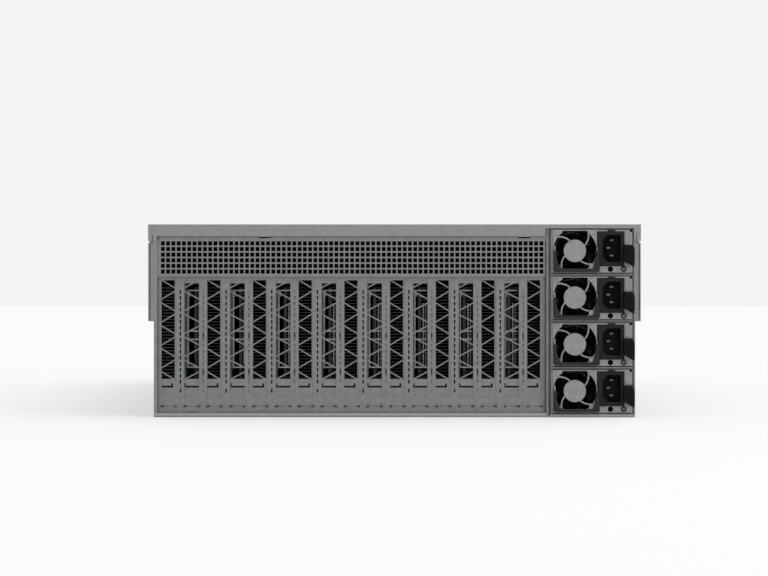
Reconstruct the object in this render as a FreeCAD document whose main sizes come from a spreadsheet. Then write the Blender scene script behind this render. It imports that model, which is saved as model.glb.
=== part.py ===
"""Rear-vented GPU server chassis, four rack units high, built as a parametric document.

Frame: +Z up, the rear face (vents, card slots, power supplies) looks along -Y,
the origin lies in the middle of the flat underside. All sizes are millimetres.
"""
import FreeCAD, Part
import math
import os
import re

import Sketcher
from FreeCAD import Placement, Rotation, Vector

doc = FreeCAD.newDocument("gpu_server_chassis")

# Driving dimensions: every size that can be set by itself
DIMENSIONS = [
    # sheet metal of the chassis
    ("chassis_depth", 737.0),
    ("sheet", 1.2),
    ("jog_width", 5.0),
    ("jog_height", 85.1),
    ("shoulder_drop", 16.1),
    ("pan_lip", 4.0),
    ("flange_width", 3.0),
    ("flange_seam", 0.6),
    ("rail_hole_dia", 4.5),
    ("rail_hole_height", 42.5),
    ("rail_hole_start", 120.0),
    ("rail_hole_pitch", 480.0),
    ("rail_hole_count", 2),
    # lift-off top cover
    ("cover_sheet", 1.0),
    ("cover_gap", 0.3),
    ("cover_skirt", 14.7),
    ("cover_lip", 10.4),
    ("cover_headroom", 2.4),
    ("cover_front_lip", 8.0),
    ("lip_tab_width", 10.0),
    ("lip_tab_height", 0.6),
    ("lip_tab_spread", 230.0),
    ("lip_corner", 2.4),
    ("lip_slot_side", 0.4),
    ("lip_slot_depth", 1.1),
    # rear panel: vent strip, ledge and card slots
    ("vent_recess", 1.3),
    ("vent_columns", 73),
    ("vent_rows", 6),
    ("vent_pitch_across", 4.667),
    ("vent_pitch_up", 5.0),
    ("vent_hole_width", 3.45),
    ("vent_hole_height", 3.65),
    ("vent_side_margin", 3.4),
    ("vent_foot", 1.675),
    ("vent_head", 4.57),
    ("slot_recess", 4.8),
    ("slot_count", 17),
    ("slot_pitch", 20.32),
    ("slot_margin", 1.6),
    ("slot_edge", 3.6),
    ("slot_width", 13.0),
    ("slot_bottom", 17.9),
    ("ledge_margin", 3.0),
    ("ledge_depth", 17.0),
    ("tail_slot_height", 9.5),
    ("tail_slot_gap", 1.5),
    ("seam_slot_width", 1.25),
    ("seam_slot_start", 3.6),
    ("seam_slot_length", 91.5),
    ("hem_fold", 1.9),
    # card brackets with truss vents
    ("bracket_sheet", 0.9),
    ("bracket_gap", 1.4),
    ("bracket_tail", 5.5),
    ("tail_shoulder", 12.0),
    ("tail_width", 9.6),
    ("bracket_tab", 10.0),
    ("window_near", 3.7),
    ("window_far", 15.4),
    ("window_far_board_side", 16.8),
    ("window_foot", 15.8),
    ("truss_pitch", 20.28),
    ("truss_count", 4),
    ("truss_half_bar", 1.0),
    ("truss_tail", 8.38),
    ("truss_lead", 1.7),
    ("spring_cut_drop", 6.4),
    ("spring_cut_gap", 1.3),
    ("spring_cut_rise", 2.2),
    ("spring_cut_length", 10.6),
    ("spring_cut_length_board_side", 13.1),
    ("window_cap", 3.0),
    ("peep_width", 1.25),
    ("peep_height", 4.2),
    ("peep_low", 22.3),
    ("peep_high", 54.5),
    # accelerator cards
    ("board_thickness", 1.6),
    ("board_offset", 17.0),
    ("board_height", 97.4),
    ("card_length", 267.0),
    ("edge_tab_start", 55.0),
    ("edge_tab_length", 85.0),
    ("edge_tab_depth", 7.2),
    ("edge_tab_fit", 0.2),
    ("end_frame_depth", 15.0),
    ("end_frame_bar", 1.2),
    ("end_frame_reach", 11.0),
    ("end_frame_low", 43.0),
    ("end_frame_mid_low", 68.0),
    ("end_frame_mid_high", 75.4),
    ("end_frame_high", 111.8),
    ("fin_start", 42.0),
    ("fin_length", 214.0),
    ("fin_pitch", 2.8),
    ("fin_count", 33),
    ("fin_thickness", 0.7),
    ("fin_base", 2.5),
    ("fin_reach", 25.5),
    ("pedestal_height", 3.9),
    ("pedestal_side", 45.0),
    ("shroud_sheet", 1.0),
    ("slim_board_offset", 1.6),
    ("slim_pedestal", 1.2),
    ("slim_base", 1.2),
    ("slim_fin_reach", 12.6),
    # boards on the floor of the chassis
    ("standoff_height", 6.8),
    ("standoff_dia", 7.0),
    ("standoff_inset", 12.0),
    ("slot_board_start", 12.0),
    ("slot_board_length", 258.0),
    ("slot_board_margin", 4.0),
    ("connector_width", 7.5),
    ("connector_height", 10.8),
    ("connector_overhang", 2.0),
    ("groove_floor", 3.2),
    ("main_board_width", 330.0),
    ("main_board_length", 305.0),
    ("main_board_gap", 12.0),
    ("cooler_width", 78.0),
    ("cooler_length", 108.0),
    ("cooler_height", 90.0),
    ("cooler_base", 9.0),
    ("cooler_fin_count", 20),
    ("cooler_fin_thickness", 0.8),
    ("cooler_spread", 160.0),
    ("module_length", 133.0),
    ("module_height", 31.0),
    ("module_thickness", 1.4),
    ("module_pitch", 9.5),
    ("module_count", 4),
    ("module_socket_width", 6.5),
    ("module_socket_height", 8.0),
    # fan wall and its three fans
    ("fan_wall_gap", 9.0),
    ("fan_size", 120.0),
    ("fan_thickness", 38.0),
    ("fan_bore_dia", 116.0),
    ("fan_pitch", 138.0),
    ("fan_count", 3),
    ("fan_height", 85.0),
    ("fan_hub_dia", 44.0),
    ("fan_tip_gap", 1.5),
    ("fan_strut", 6.0),
    ("fan_spider", 4.0),
    ("fan_shaft_dia", 5.0),
    ("fan_blades", 7),
    ("running_gap", 0.4),
    ("shaft_fit", 0.08),
    # front panel, rack ears, handles, power button
    ("intake_columns", 34),
    ("intake_rows", 3),
    ("intake_pitch_across", 10.4),
    ("intake_pitch_up", 48.0),
    ("intake_width", 6.4),
    ("intake_height", 42.0),
    ("rack_width", 482.6),
    ("rack_hole_spread", 465.1),
    ("rack_hole_rise", 101.6),
    ("rack_hole_dia", 7.0),
    ("ear_sheet", 2.5),
    ("ear_flange", 52.0),
    ("ear_flange_inset", 6.0),
    ("grip_reach", 34.0),
    ("grip_bar", 8.0),
    ("grip_height", 76.0),
    ("grip_offset", 3.4),
    ("grip_round", 5.0),
    ("button_dia", 11.0),
    ("button_inset", 16.0),
    ("button_height", 128.0),
    ("button_proud", 1.6),
    ("button_flange", 1.8),
    ("button_flange_lip", 1.6),
    ("sliding_gap", 0.3),
    # power supplies and their cage
    ("psu_count", 4),
    ("psu_width", 72.1),
    ("psu_height", 39.6),
    ("psu_length", 264.0),
    ("psu_gap", 0.5),
    ("cage_sheet", 0.8),
    ("cage_gap", 2.86),
    ("cage_recess", 1.5),
    ("cage_depth", 268.5),
    ("backplane_sheet", 1.6),
    ("backplane_plug_width", 50.0),
    ("backplane_plug_height", 8.0),
    # parts on the face of each power supply
    ("guard_sheet", 2.0),
    ("guard_size", 39.2),
    ("guard_centre", 21.0),
    ("guard_bore_dia", 38.2),
    ("guard_flat_left", 12.2),
    ("guard_flat_right", 10.5),
    ("guard_flat_top", 17.7),
    ("guard_flat_low_left", 11.8),
    ("guard_flat_low_right", 10.4),
    ("guard_flat_low", 17.0),
    ("guard_hub_dia", 20.0),
    ("guard_arm", 1.45),
    ("guard_arm_sweep", 25.0),
    ("guard_arm_bulge", 1.3),
    ("guard_boss_dia", 10.0),
    ("guard_boss", 1.1),
    ("rotor_hub_dia", 18.0),
    ("rotor_depth", 18.0),
    ("rotor_tip_gap", 0.8),
    ("rotor_blades", 7),
    ("rotor_shaft_dia", 3.0),
    ("rotor_pocket", 36.0),
    ("inlet_start", 40.8),
    ("inlet_width", 25.0),
    ("inlet_foot", 6.7),
    ("inlet_height", 30.4),
    ("inlet_proud", 3.0),
    ("inlet_sink", 20.0),
    ("inlet_mouth_start", 4.5),
    ("inlet_mouth_width", 16.3),
    ("inlet_mouth_foot", 3.8),
    ("inlet_mouth_height", 23.7),
    ("inlet_mouth_depth", 16.0),
    ("inlet_chamfer", 4.6),
    ("pin_width", 4.0),
    ("pin_thickness", 2.0),
    ("pin_recess", 5.5),
    ("pin_pitch", 7.0),
    ("pin_row", 6.2),
    ("earth_pin_shift", 3.1),
    ("lug_sheet", 1.6),
    ("lug_height", 7.0),
    ("lug_foot", 15.0),
    ("bail_left", 1.6),
    ("bail_width", 40.6),
    ("bail_bar", 2.6),
    ("bail_depth", 3.2),
    ("bail_foot", 1.1),
    ("bail_band", 2.8),
    ("bail_gusset", 2.4),
    ("bail_gusset_top", 12.4),
    ("bail_pivot_dia", 2.2),
    ("bail_gap", 0.3),
    ("bail_end_flat", 0.05),
    ("latch_foot", 8.4),
    ("latch_height", 17.4),
    ("latch_side_inset", 0.7),
    ("latch_neck", 3.8),
    ("latch_reach", 17.0),
    ("latch_pad", 6.8),
    ("latch_pad_lean", 1.4),
    ("latch_root", 9.0),
    ("latch_pivot_depth", 5.0),
    ("latch_pin_dia", 2.4),
    ("latch_pin_length", 1.4),
    ("latch_room", 0.5),
    ("latch_slope", 2.6),
    ("latch_pad_left", 4.0),
    ("indicator_dia", 5.0),
    ("indicator_from_right", 8.0),
    ("indicator_height", 3.5),
    ("indicator_depth", 3.0),
    ("screw_hole_dia", 4.4),
    ("screw_hole_from_right", 19.8),
    ("corner_notch", 1.6),
    ("corner_notch_inset", 0.6),
    ("corner_notch_depth", 8.0),
]

sheet = doc.addObject("Spreadsheet::Sheet", "Dims")
for row, (alias, value) in enumerate(DIMENSIONS, start=1):
    sheet.set(f"A{row}", alias)
    sheet.set(f"B{row}", str(value))
    sheet.setAlias(f"B{row}", alias)
doc.recompute()

# Places worked out from the driving dimensions, in the order in which they build on each other
PLACES = [
    ("rear_y", "-chassis_depth / 2"),
    ("front_y", "chassis_depth / 2"),
    ("panel_front_y", "front_y - sheet"),
    # across: wall, slots, cage and supplies add up to the inner width
    ("slots_width", "slot_count * slot_pitch"),
    ("psu_bay", "psu_width + 2 * psu_gap"),
    ("cage_width", "psu_bay + 2 * cage_sheet"),
    ("low_in", "(slot_margin + slots_width + cage_gap + cage_width) / 2"),
    ("low_x", "low_in + sheet"),
    ("top_x", "low_x + jog_width"),
    ("slot_left", "-low_in + slot_margin"),
    ("panel_right", "slot_left + slots_width"),
    ("cage_left", "low_in - cage_width"),
    ("psu_left", "cage_left + cage_sheet + psu_gap"),
    ("flange_x", "low_x - flange_width"),
    # up: the supply stack and the slot and vent stack, the taller one sets the height
    ("psu_pitch", "psu_height + cage_sheet + 2 * psu_gap"),
    ("psu_floor", "sheet + cage_sheet + psu_gap"),
    ("cage_top", "sheet + cage_sheet + psu_count * psu_pitch"),
    ("window_bottom", "slot_bottom + window_foot"),
    ("truss_top", "window_bottom + truss_tail + truss_count * truss_pitch"),
    ("slot_top", "truss_top - truss_lead"),
    ("ledge_z", "slot_top + ledge_margin"),
    ("vent_z", "ledge_z + sheet + vent_foot"),
    ("vent_top", "vent_z + (vent_rows - 1) * vent_pitch_up + vent_hole_height"),
    ("height", "max(cage_top + cover_headroom + cover_sheet; vent_top + vent_head + cover_lip)"),
    ("cover_under", "height - cover_sheet"),
    ("wall_top", "cover_under - cover_gap"),
    ("skirt_z", "height - cover_skirt"),
    ("shoulder_z", "height - shoulder_drop"),
    ("neck_x", "top_x - cover_sheet - cover_gap"),
    ("lip_z", "height - cover_lip"),
    ("ear_mid", "height / 2"),
    # along: rear panel planes, brackets, cards, fans, boards
    ("vent_y", "rear_y + vent_recess"),
    ("slot_y", "rear_y + slot_recess"),
    ("bracket_y", "slot_y + sheet"),
    ("card_y", "bracket_y + bracket_sheet"),
    ("cage_y", "rear_y + cage_recess"),
    ("cage_end", "cage_y + cage_depth"),
    ("inner_end", "max(card_y + card_length; cage_end + backplane_sheet)"),
    ("fan_wall_y", "inner_end + fan_wall_gap"),
    ("fan_y", "fan_wall_y + sheet"),
    ("main_board_y", "fan_y + fan_thickness + main_board_gap"),
    ("floor_board", "sheet + standoff_height"),
    ("floor_top", "floor_board + board_thickness"),
    ("connector_top", "floor_top + connector_height"),
    ("board_bottom", "connector_top + 2 * edge_tab_fit"),
    ("board_top", "board_bottom + board_height"),
    ("cooler_y", "main_board_y + main_board_length / 2"),
]

places = doc.addObject("Spreadsheet::Sheet", "Places")
WORD = re.compile(r"[a-z][a-z_]+")
HOME = {alias: "Dims" for alias, _ in DIMENSIONS}


def bound(text):
    """The expression with every named size pointing at its cell."""
    return WORD.sub(lambda m: f"{HOME[m.group()]}.{m.group()}" if m.group() in HOME else m.group(), text)


for row, (alias, formula) in enumerate(PLACES, start=1):
    text = bound(formula).replace("Places.", "")
    places.set(f"A{row}", alias)
    places.set(f"B{row}", f"={text}")
    places.setAlias(f"B{row}", alias)
    HOME[alias] = "Places"
doc.recompute()


def number(text):
    """The value of an expression, read from the sheets."""
    def cell(match):
        name = match.group()
        if name not in HOME:
            return name
        return f"({doc.getObject(HOME[name]).get(name)!r})"
    return FreeCAD.Units.Quantity(WORD.sub(cell, text)).Value


# Small builders shared by all sub-parts
def place(obj, at):
    for axis, text in zip("xyz", at):
        obj.setExpression(f"Placement.Base.{axis}", bound(text))
    return obj


def box(name, low, high):
    """A block between two corners."""
    made = doc.addObject("Part::Box", name)
    for size, start, end in zip(("Length", "Width", "Height"), low, high):
        made.setExpression(size, bound(f"({end}) - ({start})"))
    return place(made, low)


def rod(name, dia, start, length, axis):
    """A round rod that starts at a point and runs along +X, +Y or +Z."""
    turns = {
        "x": Rotation(Vector(0, 1, 0), 90),
        "y": Rotation(Vector(1, 0, 0), -90),
        "z": Rotation(),
    }
    made = doc.addObject("Part::Cylinder", name)
    made.Placement = Placement(Vector(), turns[axis])
    made.setExpression("Radius", bound(f"({dia}) / 2"))
    made.setExpression("Height", bound(length))
    return place(made, start)


def fuse(label, pieces):
    made = doc.addObject("Part::MultiFuse", label)
    made.Label = label
    made.Shapes = pieces
    made.Refine = True
    return made


def group(label, pieces):
    made = doc.addObject("Part::Compound", label)
    made.Label = label
    made.Links = pieces
    return made


def cut(label, base, tools):
    made = doc.addObject("Part::Cut", label)
    made.Label = label
    made.Base = base
    made.Tool = tools[0] if len(tools) == 1 else group(f"{label}_tools", tools)
    return made


def new_body(label):
    made = doc.addObject("PartDesign::Body", label)
    made.Label = label
    return made


def new_sketch(body, role, offset):
    """A sketch on one of the body's own origin planes, moved along the plane's normal."""
    made = body.newObject("Sketcher::SketchObject", f"{body.Name}_sketch")
    plane = next(f for f in body.Origin.OriginFeatures if f.Role == role)
    made.AttachmentSupport = [(plane, "")]
    made.MapMode = "FlatFace"
    made.setExpression("AttachmentOffset.Base.z", bound(offset))
    return made


def rear_sketch(body, y):
    """A sketch seen from the rear: across is X, up is Z, at the given Y."""
    return new_sketch(body, "XZ_Plane", f"-({y})")


def side_sketch(body, x):
    """A sketch seen from the right side: across is Y, up is Z, at the given X."""
    return new_sketch(body, "YZ_Plane", x)


def top_sketch(body, z):
    return new_sketch(body, "XY_Plane", z)


def pin_point(sketch, line, point, across, up):
    for kind, text in (("DistanceX", across), ("DistanceY", up)):
        made = sketch.addConstraint(Sketcher.Constraint(kind, -1, 1, line, point, number(text)))
        sketch.setExpression(f"Constraints[{made}]", bound(text))


def outline(sketch, corners):
    """A closed outline whose corners follow the sheets."""
    first = sketch.GeometryCount
    spots = [Vector(number(across), number(up), 0) for across, up in corners]
    count = len(corners)
    for i in range(count):
        sketch.addGeometry(Part.LineSegment(spots[i], spots[(i + 1) % count]))
    for i in range(count):
        sketch.addConstraint(Sketcher.Constraint("Coincident", first + i, 2, first + (i + 1) % count, 1))
    for i, (across, up) in enumerate(corners):
        pin_point(sketch, first + i, 1, across, up)


def rectangle(sketch, left, right, low, high):
    outline(sketch, [(left, low), (right, low), (right, high), (left, high)])


def circle(sketch, across, up, dia):
    line = sketch.addGeometry(Part.Circle(Vector(number(across), number(up), 0), Vector(0, 0, 1), number(dia) / 2))
    pin_point(sketch, line, 3, across, up)
    made = sketch.addConstraint(Sketcher.Constraint("Diameter", line, number(dia)))
    sketch.setExpression(f"Constraints[{made}]", bound(dia))


def pad(body, sketch, length, reverse=True):
    made = body.newObject("PartDesign::Pad", f"{body.Name}_pad")
    made.Profile = sketch
    made.setExpression("Length", bound(length))
    made.Reversed = reverse
    return made


def pocket(body, sketch, length=None, reverse=False):
    """A pocket of the given depth, or through everything."""
    made = body.newObject("PartDesign::Pocket", f"{body.Name}_pocket")
    made.Profile = sketch
    made.Reversed = reverse
    if length is None:
        made.Type = "ThroughAll"
    else:
        made.setExpression("Length", bound(length))
    return made


def row_pattern(body, feature, sketch, axis, pitch, count):
    made = body.newObject("PartDesign::LinearPattern", f"{body.Name}_row")
    made.Originals = [feature]
    made.Direction = (sketch, [axis])
    made.setExpression("Length", bound(f"({pitch}) * (({count}) - 1)"))
    made.setExpression("Occurrences", bound(count))
    body.Tip = made
    return made


def grid_pattern(body, feature, sketch, pitch_across, count_across, pitch_up, count_up):
    made = body.newObject("PartDesign::MultiTransform", f"{body.Name}_grid")
    made.Originals = [feature]
    rows = []
    for axis, pitch, count in (("H_Axis", pitch_across, count_across), ("V_Axis", pitch_up, count_up)):
        line = body.newObject("PartDesign::LinearPattern", f"{body.Name}_line")
        line.Direction = (sketch, [axis])
        line.setExpression("Length", bound(f"({pitch}) * (({count}) - 1)"))
        line.setExpression("Occurrences", bound(count))
        rows.append(line)
    made.Transformations = rows
    body.Tip = made
    return made


nodes = []


def keep(obj):
    """Marks an object as a sub-part that is written out under its label."""
    nodes.append(obj)
    return obj


# Base pan: flat floor, low rear lip in front of the slots, round stand-offs under the two boards
pan = new_body("base_pan")
floor = top_sketch(pan, "0")
rectangle(floor, "-low_x", "low_x", "rear_y", "panel_front_y")
pad(pan, floor, "sheet", reverse=False)
lip = rear_sketch(pan, "rear_y")
rectangle(lip, "-flange_x", "panel_right", "sheet", "pan_lip")
pad(pan, lip, "sheet")
slot_board_left = "(-low_in + slot_board_margin)"
slot_board_right = "(panel_right - slot_board_margin)"
slot_board_y = "(rear_y + slot_board_start)"
main_board_left = "(-main_board_width / 2)"
for left, right, near, length in (
    (slot_board_left, slot_board_right, slot_board_y, "slot_board_length"),
    (main_board_left, "(main_board_width / 2)", "main_board_y", "main_board_length"),
):
    post = top_sketch(pan, "sheet")
    circle(post, f"{left} + standoff_inset", f"{near} + standoff_inset", "standoff_dia")
    posts = pad(pan, post, "standoff_height", reverse=False)
    across = f"({right} - {left} - 2 * standoff_inset) / 3"
    grid_pattern(pan, posts, post, across, "4", f"({length} - 2 * standoff_inset) / 2", "3")
keep(pan)


# Side walls: one bent profile each, narrow below, wide above, drawn in at the top under the cover skirt
def side_wall(label, side):
    wall = new_body(label)
    s = f"{side} * "
    profile = rear_sketch(wall, "rear_y")
    outline(profile, [
        (f"{s}low_x", "sheet"),
        (f"{s}low_x", "jog_height"),
        (f"{s}top_x", "jog_height"),
        (f"{s}top_x", "shoulder_z"),
        (f"{s}neck_x", "shoulder_z"),
        (f"{s}neck_x", "wall_top"),
        (f"{s}(neck_x - sheet)", "wall_top"),
        (f"{s}(neck_x - sheet)", "shoulder_z - sheet"),
        (f"{s}(top_x - sheet)", "shoulder_z - sheet"),
        (f"{s}(top_x - sheet)", "jog_height + sheet"),
        (f"{s}low_in", "jog_height + sheet"),
        (f"{s}low_in", "sheet"),
    ])
    pad(wall, profile, "chassis_depth - sheet")
    # rear return flange, with a thin seam left open beside the outer skin
    seam_x = f"{s}(top_x - sheet - flange_seam)"
    edge_x = f"{s}flange_x" if side < 0 else f"{s}low_in"
    flange = rear_sketch(wall, "rear_y")
    upper = [
        (f"{s}low_in", "jog_height + sheet"),
        (seam_x, "jog_height + sheet"),
        (seam_x, "shoulder_z - sheet - flange_seam"),
        (f"{s}(neck_x - 2 * sheet - flange_seam)", "shoulder_z - sheet - flange_seam"),
        (f"{s}(neck_x - 2 * sheet - flange_seam)", "wall_top"),
        (edge_x, "wall_top"),
    ]
    if side < 0:
        upper += [(edge_x, "sheet"), (f"{s}low_in", "sheet")]
    outline(flange, upper)
    pad(wall, flange, "sheet")
    # row of screw holes for a slide rail, low on the wall
    holes = side_sketch(wall, f"{s}low_x")
    circle(holes, "rear_y + rail_hole_start", "rail_hole_height", "rail_hole_dia")
    drilled = pocket(wall, holes, "sheet * 2", reverse=side < 0)
    row_pattern(wall, drilled, holes, "H_Axis", "rail_hole_pitch", "rail_hole_count")
    return keep(wall)


side_wall("left_side_wall", -1)
side_wall("right_side_wall", 1)

# Rear panel: one bent sheet with the vent strip, the ledge over the cards and the slot field below
panel = new_body("rear_panel")
bend = side_sketch(panel, "-low_in")
outline(bend, [
    ("slot_y", "sheet"),
    ("bracket_y", "sheet"),
    ("bracket_y", "ledge_z"),
    ("vent_y + ledge_depth", "ledge_z"),
    ("vent_y + ledge_depth", "ledge_z + sheet"),
    ("vent_y + sheet", "ledge_z + sheet"),
    ("vent_y + sheet", "wall_top"),
    ("vent_y", "wall_top"),
    ("vent_y", "ledge_z"),
    ("slot_y", "ledge_z"),
])
pad(panel, bend, "panel_right + low_in", reverse=False)
hem = rear_sketch(panel, "rear_y")
rectangle(hem, "panel_right", "panel_right + hem_fold", "sheet", "cage_top")
pad(panel, hem, "slot_recess + sheet")
opening = rear_sketch(panel, "rear_y")
rectangle(opening, "slot_left + slot_edge", "slot_left + slot_edge + slot_width", "slot_bottom", "slot_top")
slots = pocket(panel, opening, "slot_recess + 2 * sheet")
row_pattern(panel, slots, opening, "H_Axis", "slot_pitch", "slot_count")
tail = rear_sketch(panel, "rear_y")
rectangle(
    tail, "slot_left + slot_edge", "slot_left + slot_edge + slot_width",
    "tail_slot_height - tail_slot_gap / 2", "tail_slot_height + tail_slot_gap / 2",
)
tails = pocket(panel, tail, "slot_recess + 2 * sheet")
row_pattern(panel, tails, tail, "H_Axis", "slot_pitch", "slot_count")
seam = rear_sketch(panel, "rear_y")
seam_mid = "(slot_left + slot_pitch)"
rectangle(
    seam, f"{seam_mid} - seam_slot_width / 2", f"{seam_mid} + seam_slot_width / 2",
    "slot_bottom + seam_slot_start", "slot_bottom + seam_slot_start + seam_slot_length",
)
seams = pocket(panel, seam, "slot_recess + 2 * sheet")
row_pattern(panel, seams, seam, "H_Axis", "slot_pitch", "slot_count - 1")
hook = rear_sketch(panel, "rear_y")
hook_low = "(lip_z - lip_tab_height - lip_slot_depth)"
half_hook = "(lip_tab_width / 2 + lip_slot_side)"
for middle in ("(-lip_tab_spread / 2)", "(lip_tab_spread / 2)"):
    rectangle(hook, f"{middle} - {half_hook}", f"{middle} + {half_hook}", hook_low, "lip_z - lip_tab_height / 3")
pocket(panel, hook, "vent_recess + 2 * sheet")
mesh = rear_sketch(panel, "rear_y")
mesh_left = "(slot_left + vent_side_margin)"
rectangle(mesh, mesh_left, f"{mesh_left} + vent_hole_width", "vent_z", "vent_z + vent_hole_height")
mesh_hole = pocket(panel, mesh, "vent_recess + 2 * sheet")
grid_pattern(
    panel, mesh_hole, mesh, "vent_pitch_across", "vent_columns", "vent_pitch_up", "vent_rows",
)
keep(panel)

# Top cover: flat sheet with side skirts, a rear lip cut back over the supplies, with two small tabs and corner returns
cover = new_body("top_cover")
cover_y = "(rear_y - cover_gap - cover_sheet)"
skin_x = "(top_x - cover_sheet)"
section = rear_sketch(cover, cover_y)
outline(section, [
    ("-top_x", "skirt_z"),
    (f"-{skin_x}", "skirt_z"),
    (f"-{skin_x}", "cover_under"),
    (skin_x, "cover_under"),
    (skin_x, "skirt_z"),
    ("top_x", "skirt_z"),
    ("top_x", "height"),
    ("-top_x", "height"),
])
pad(cover, section, f"panel_front_y - cover_gap - {cover_y}")
lip = rear_sketch(cover, cover_y)
tab_low = "(lip_z - lip_tab_height)"
corners = [
    (f"-{skin_x}", "cover_under"),
    (f"-{skin_x}", "skirt_z"),
    ("lip_corner - low_in", "skirt_z"),
    ("lip_corner - low_in", "lip_z"),
]
for middle in ("(-lip_tab_spread / 2)", "(lip_tab_spread / 2)"):
    corners += [
        (f"{middle} - lip_tab_width / 2", "lip_z"),
        (f"{middle} - lip_tab_width / 2", tab_low),
        (f"{middle} + lip_tab_width / 2", tab_low),
        (f"{middle} + lip_tab_width / 2", "lip_z"),
    ]
corners += [
    ("panel_right", "lip_z"),
    ("panel_right", "cage_top"),
    ("low_in", "cage_top"),
    ("low_in", "skirt_z"),
    (skin_x, "skirt_z"),
    (skin_x, "cover_under"),
]
outline(lip, corners)
pad(cover, lip, "cover_sheet")
front_lip = rear_sketch(cover, "panel_front_y - cover_gap - cover_sheet")
edge = "(neck_x - sheet - cover_gap)"
rectangle(front_lip, f"-{edge}", edge, "height - cover_front_lip", "cover_under")
pad(cover, front_lip, "cover_sheet")
keep(cover)


# Truss-vented card brackets: mirrored zigzag struts in both windows of a double-width bracket
def truss_window(regular, ends, sign, far, cut_length):
    """The cut-outs of one window: two triangles that repeat, and the partial ones at both ends."""
    near_x = f"({sign} * window_near)"
    far_x = f"({sign} * {far})"
    half = "(truss_pitch / 2)"
    tip = f"(({far} - window_near) * truss_half_bar / {half})"
    outline(regular, [
        (near_x, "truss_top - truss_half_bar"),
        (f"{far_x} - {sign} * {tip}", f"truss_top - {half}"),
        (near_x, "truss_top - truss_pitch + truss_half_bar"),
    ])
    outline(regular, [
        (far_x, f"truss_top - {half} - truss_half_bar"),
        (f"{near_x} + {sign} * {tip}", "truss_top - truss_pitch"),
        (far_x, f"truss_top - {half} - truss_pitch + truss_half_bar"),
    ])
    head = f"(({far} - window_near) * (truss_lead + truss_half_bar) / {half})"
    outline(ends, [
        (f"{near_x} + {sign} * {head}", "slot_top"),
        (far_x, "slot_top"),
        (far_x, f"truss_top - {half} + truss_half_bar"),
    ])
    foot = f"(({far} - window_near) * (truss_tail - truss_half_bar) / {half})"
    outline(ends, [
        (near_x, "window_bottom + truss_tail - truss_half_bar"),
        (f"{near_x} + {sign} * {foot}", "window_bottom"),
        (near_x, "window_bottom"),
    ])
    # L-shaped relief cut of the spring tongue below the window
    low = "(window_bottom - spring_cut_drop - spring_cut_gap / 2)"
    end_x = f"({sign} * (window_near + {cut_length}))"
    outline(ends, [
        (near_x, low),
        (end_x, low),
        (end_x, f"{low} + spring_cut_gap + spring_cut_rise"),
        (f"{end_x} - {sign} * spring_cut_gap", f"{low} + spring_cut_gap + spring_cut_rise"),
        (f"{end_x} - {sign} * spring_cut_gap", f"{low} + spring_cut_gap"),
        (near_x, f"{low} + spring_cut_gap"),
    ])


def bracket(label, middle, left, right, windows):
    """A bracket about its strip line at X = 0 of its own frame, moved to its slots."""
    made = new_body(label)
    plate = rear_sketch(made, "bracket_y")
    rectangle(plate, left, right, "tail_shoulder", "ledge_z")
    pad(made, plate, "bracket_sheet")
    tails = rear_sketch(made, "bracket_y")
    for sign, _, _ in windows:
        slot_mid = f"{sign} * slot_pitch / 2"
        rectangle(
            tails, f"{slot_mid} - tail_width / 2", f"{slot_mid} + tail_width / 2", "bracket_tail", "tail_shoulder",
        )
    pad(made, tails, "bracket_sheet")
    tab = rear_sketch(made, "card_y")
    rectangle(tab, left, right, "ledge_z - bracket_sheet", "ledge_z")
    pad(made, tab, "bracket_tab")
    regular = rear_sketch(made, "bracket_y")
    ends = rear_sketch(made, "bracket_y")
    for sign, far, cut_length in windows:
        truss_window(regular, ends, sign, far, cut_length)
    if len(windows) == 2:
        for level in ("(slot_bottom + peep_low)", "(slot_bottom + peep_high)"):
            rectangle(
                ends, "-peep_width / 2", "peep_width / 2",
                f"{level} - peep_height / 2", f"{level} + peep_height / 2",
            )
    pocket(made, ends, "bracket_sheet")
    cuts = pocket(made, regular, "bracket_sheet")
    down = row_pattern(made, cuts, regular, "V_Axis", "truss_pitch", "truss_count")
    down.Reversed = True
    if len(windows) == 2:
        cap = rear_sketch(made, "bracket_y")
        rectangle(cap, "-window_far_board_side", "-window_near", "slot_top - window_cap", "truss_top")
        pad(made, cap, "bracket_sheet")
    place(made, (middle, "0", "0"))
    return keep(made)


card_middles = [f"(slot_left + {2 * k + 2} * slot_pitch)" for k in range(8)]
for k, middle in enumerate(card_middles, start=1):
    bracket(
        f"card_bracket_{k}", middle,
        "-slot_pitch + bracket_gap / 2", "slot_pitch - bracket_gap / 2",
        (
            (-1, "window_far_board_side", "spring_cut_length_board_side"),
            (1, "window_far", "spring_cut_length"),
        ),
    )
bracket(
    "slim_bracket", "slot_left", "bracket_gap / 2", "slot_pitch - bracket_gap / 2",
    ((1, "window_far", "spring_cut_length"),),
)


# Cards behind the brackets: board with edge tab, light end frame, fin stack on its base, dark shroud
def card_board(name, left):
    right = f"{left} + board_thickness"
    tab_y = "(card_y + edge_tab_start)"
    blank = box(f"{name}_blank", (left, "card_y", "board_bottom"), (right, "card_y + card_length", "board_top"))
    tab = box(
        f"{name}_tab", (left, tab_y, "board_bottom - edge_tab_depth"),
        (right, f"{tab_y} + edge_tab_length", "board_bottom"),
    )
    return fuse(name, [blank, tab])


def end_frame(name, left):
    low_y = "(card_y + end_frame_depth)"
    bars = [box(
        f"{name}_upright", (left, low_y, "end_frame_low"),
        (f"{left} + end_frame_bar", f"{low_y} + end_frame_bar", "end_frame_high + end_frame_bar"),
    )]
    for i, level in enumerate(("end_frame_low", "end_frame_mid_low", "end_frame_mid_high", "end_frame_high")):
        bars.append(box(
            f"{name}_bar_{i}", (left, low_y, level),
            (f"{left} + end_frame_reach", f"{low_y} + end_frame_bar", f"{level} + end_frame_bar"),
        ))
    return fuse(name, bars)


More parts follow.
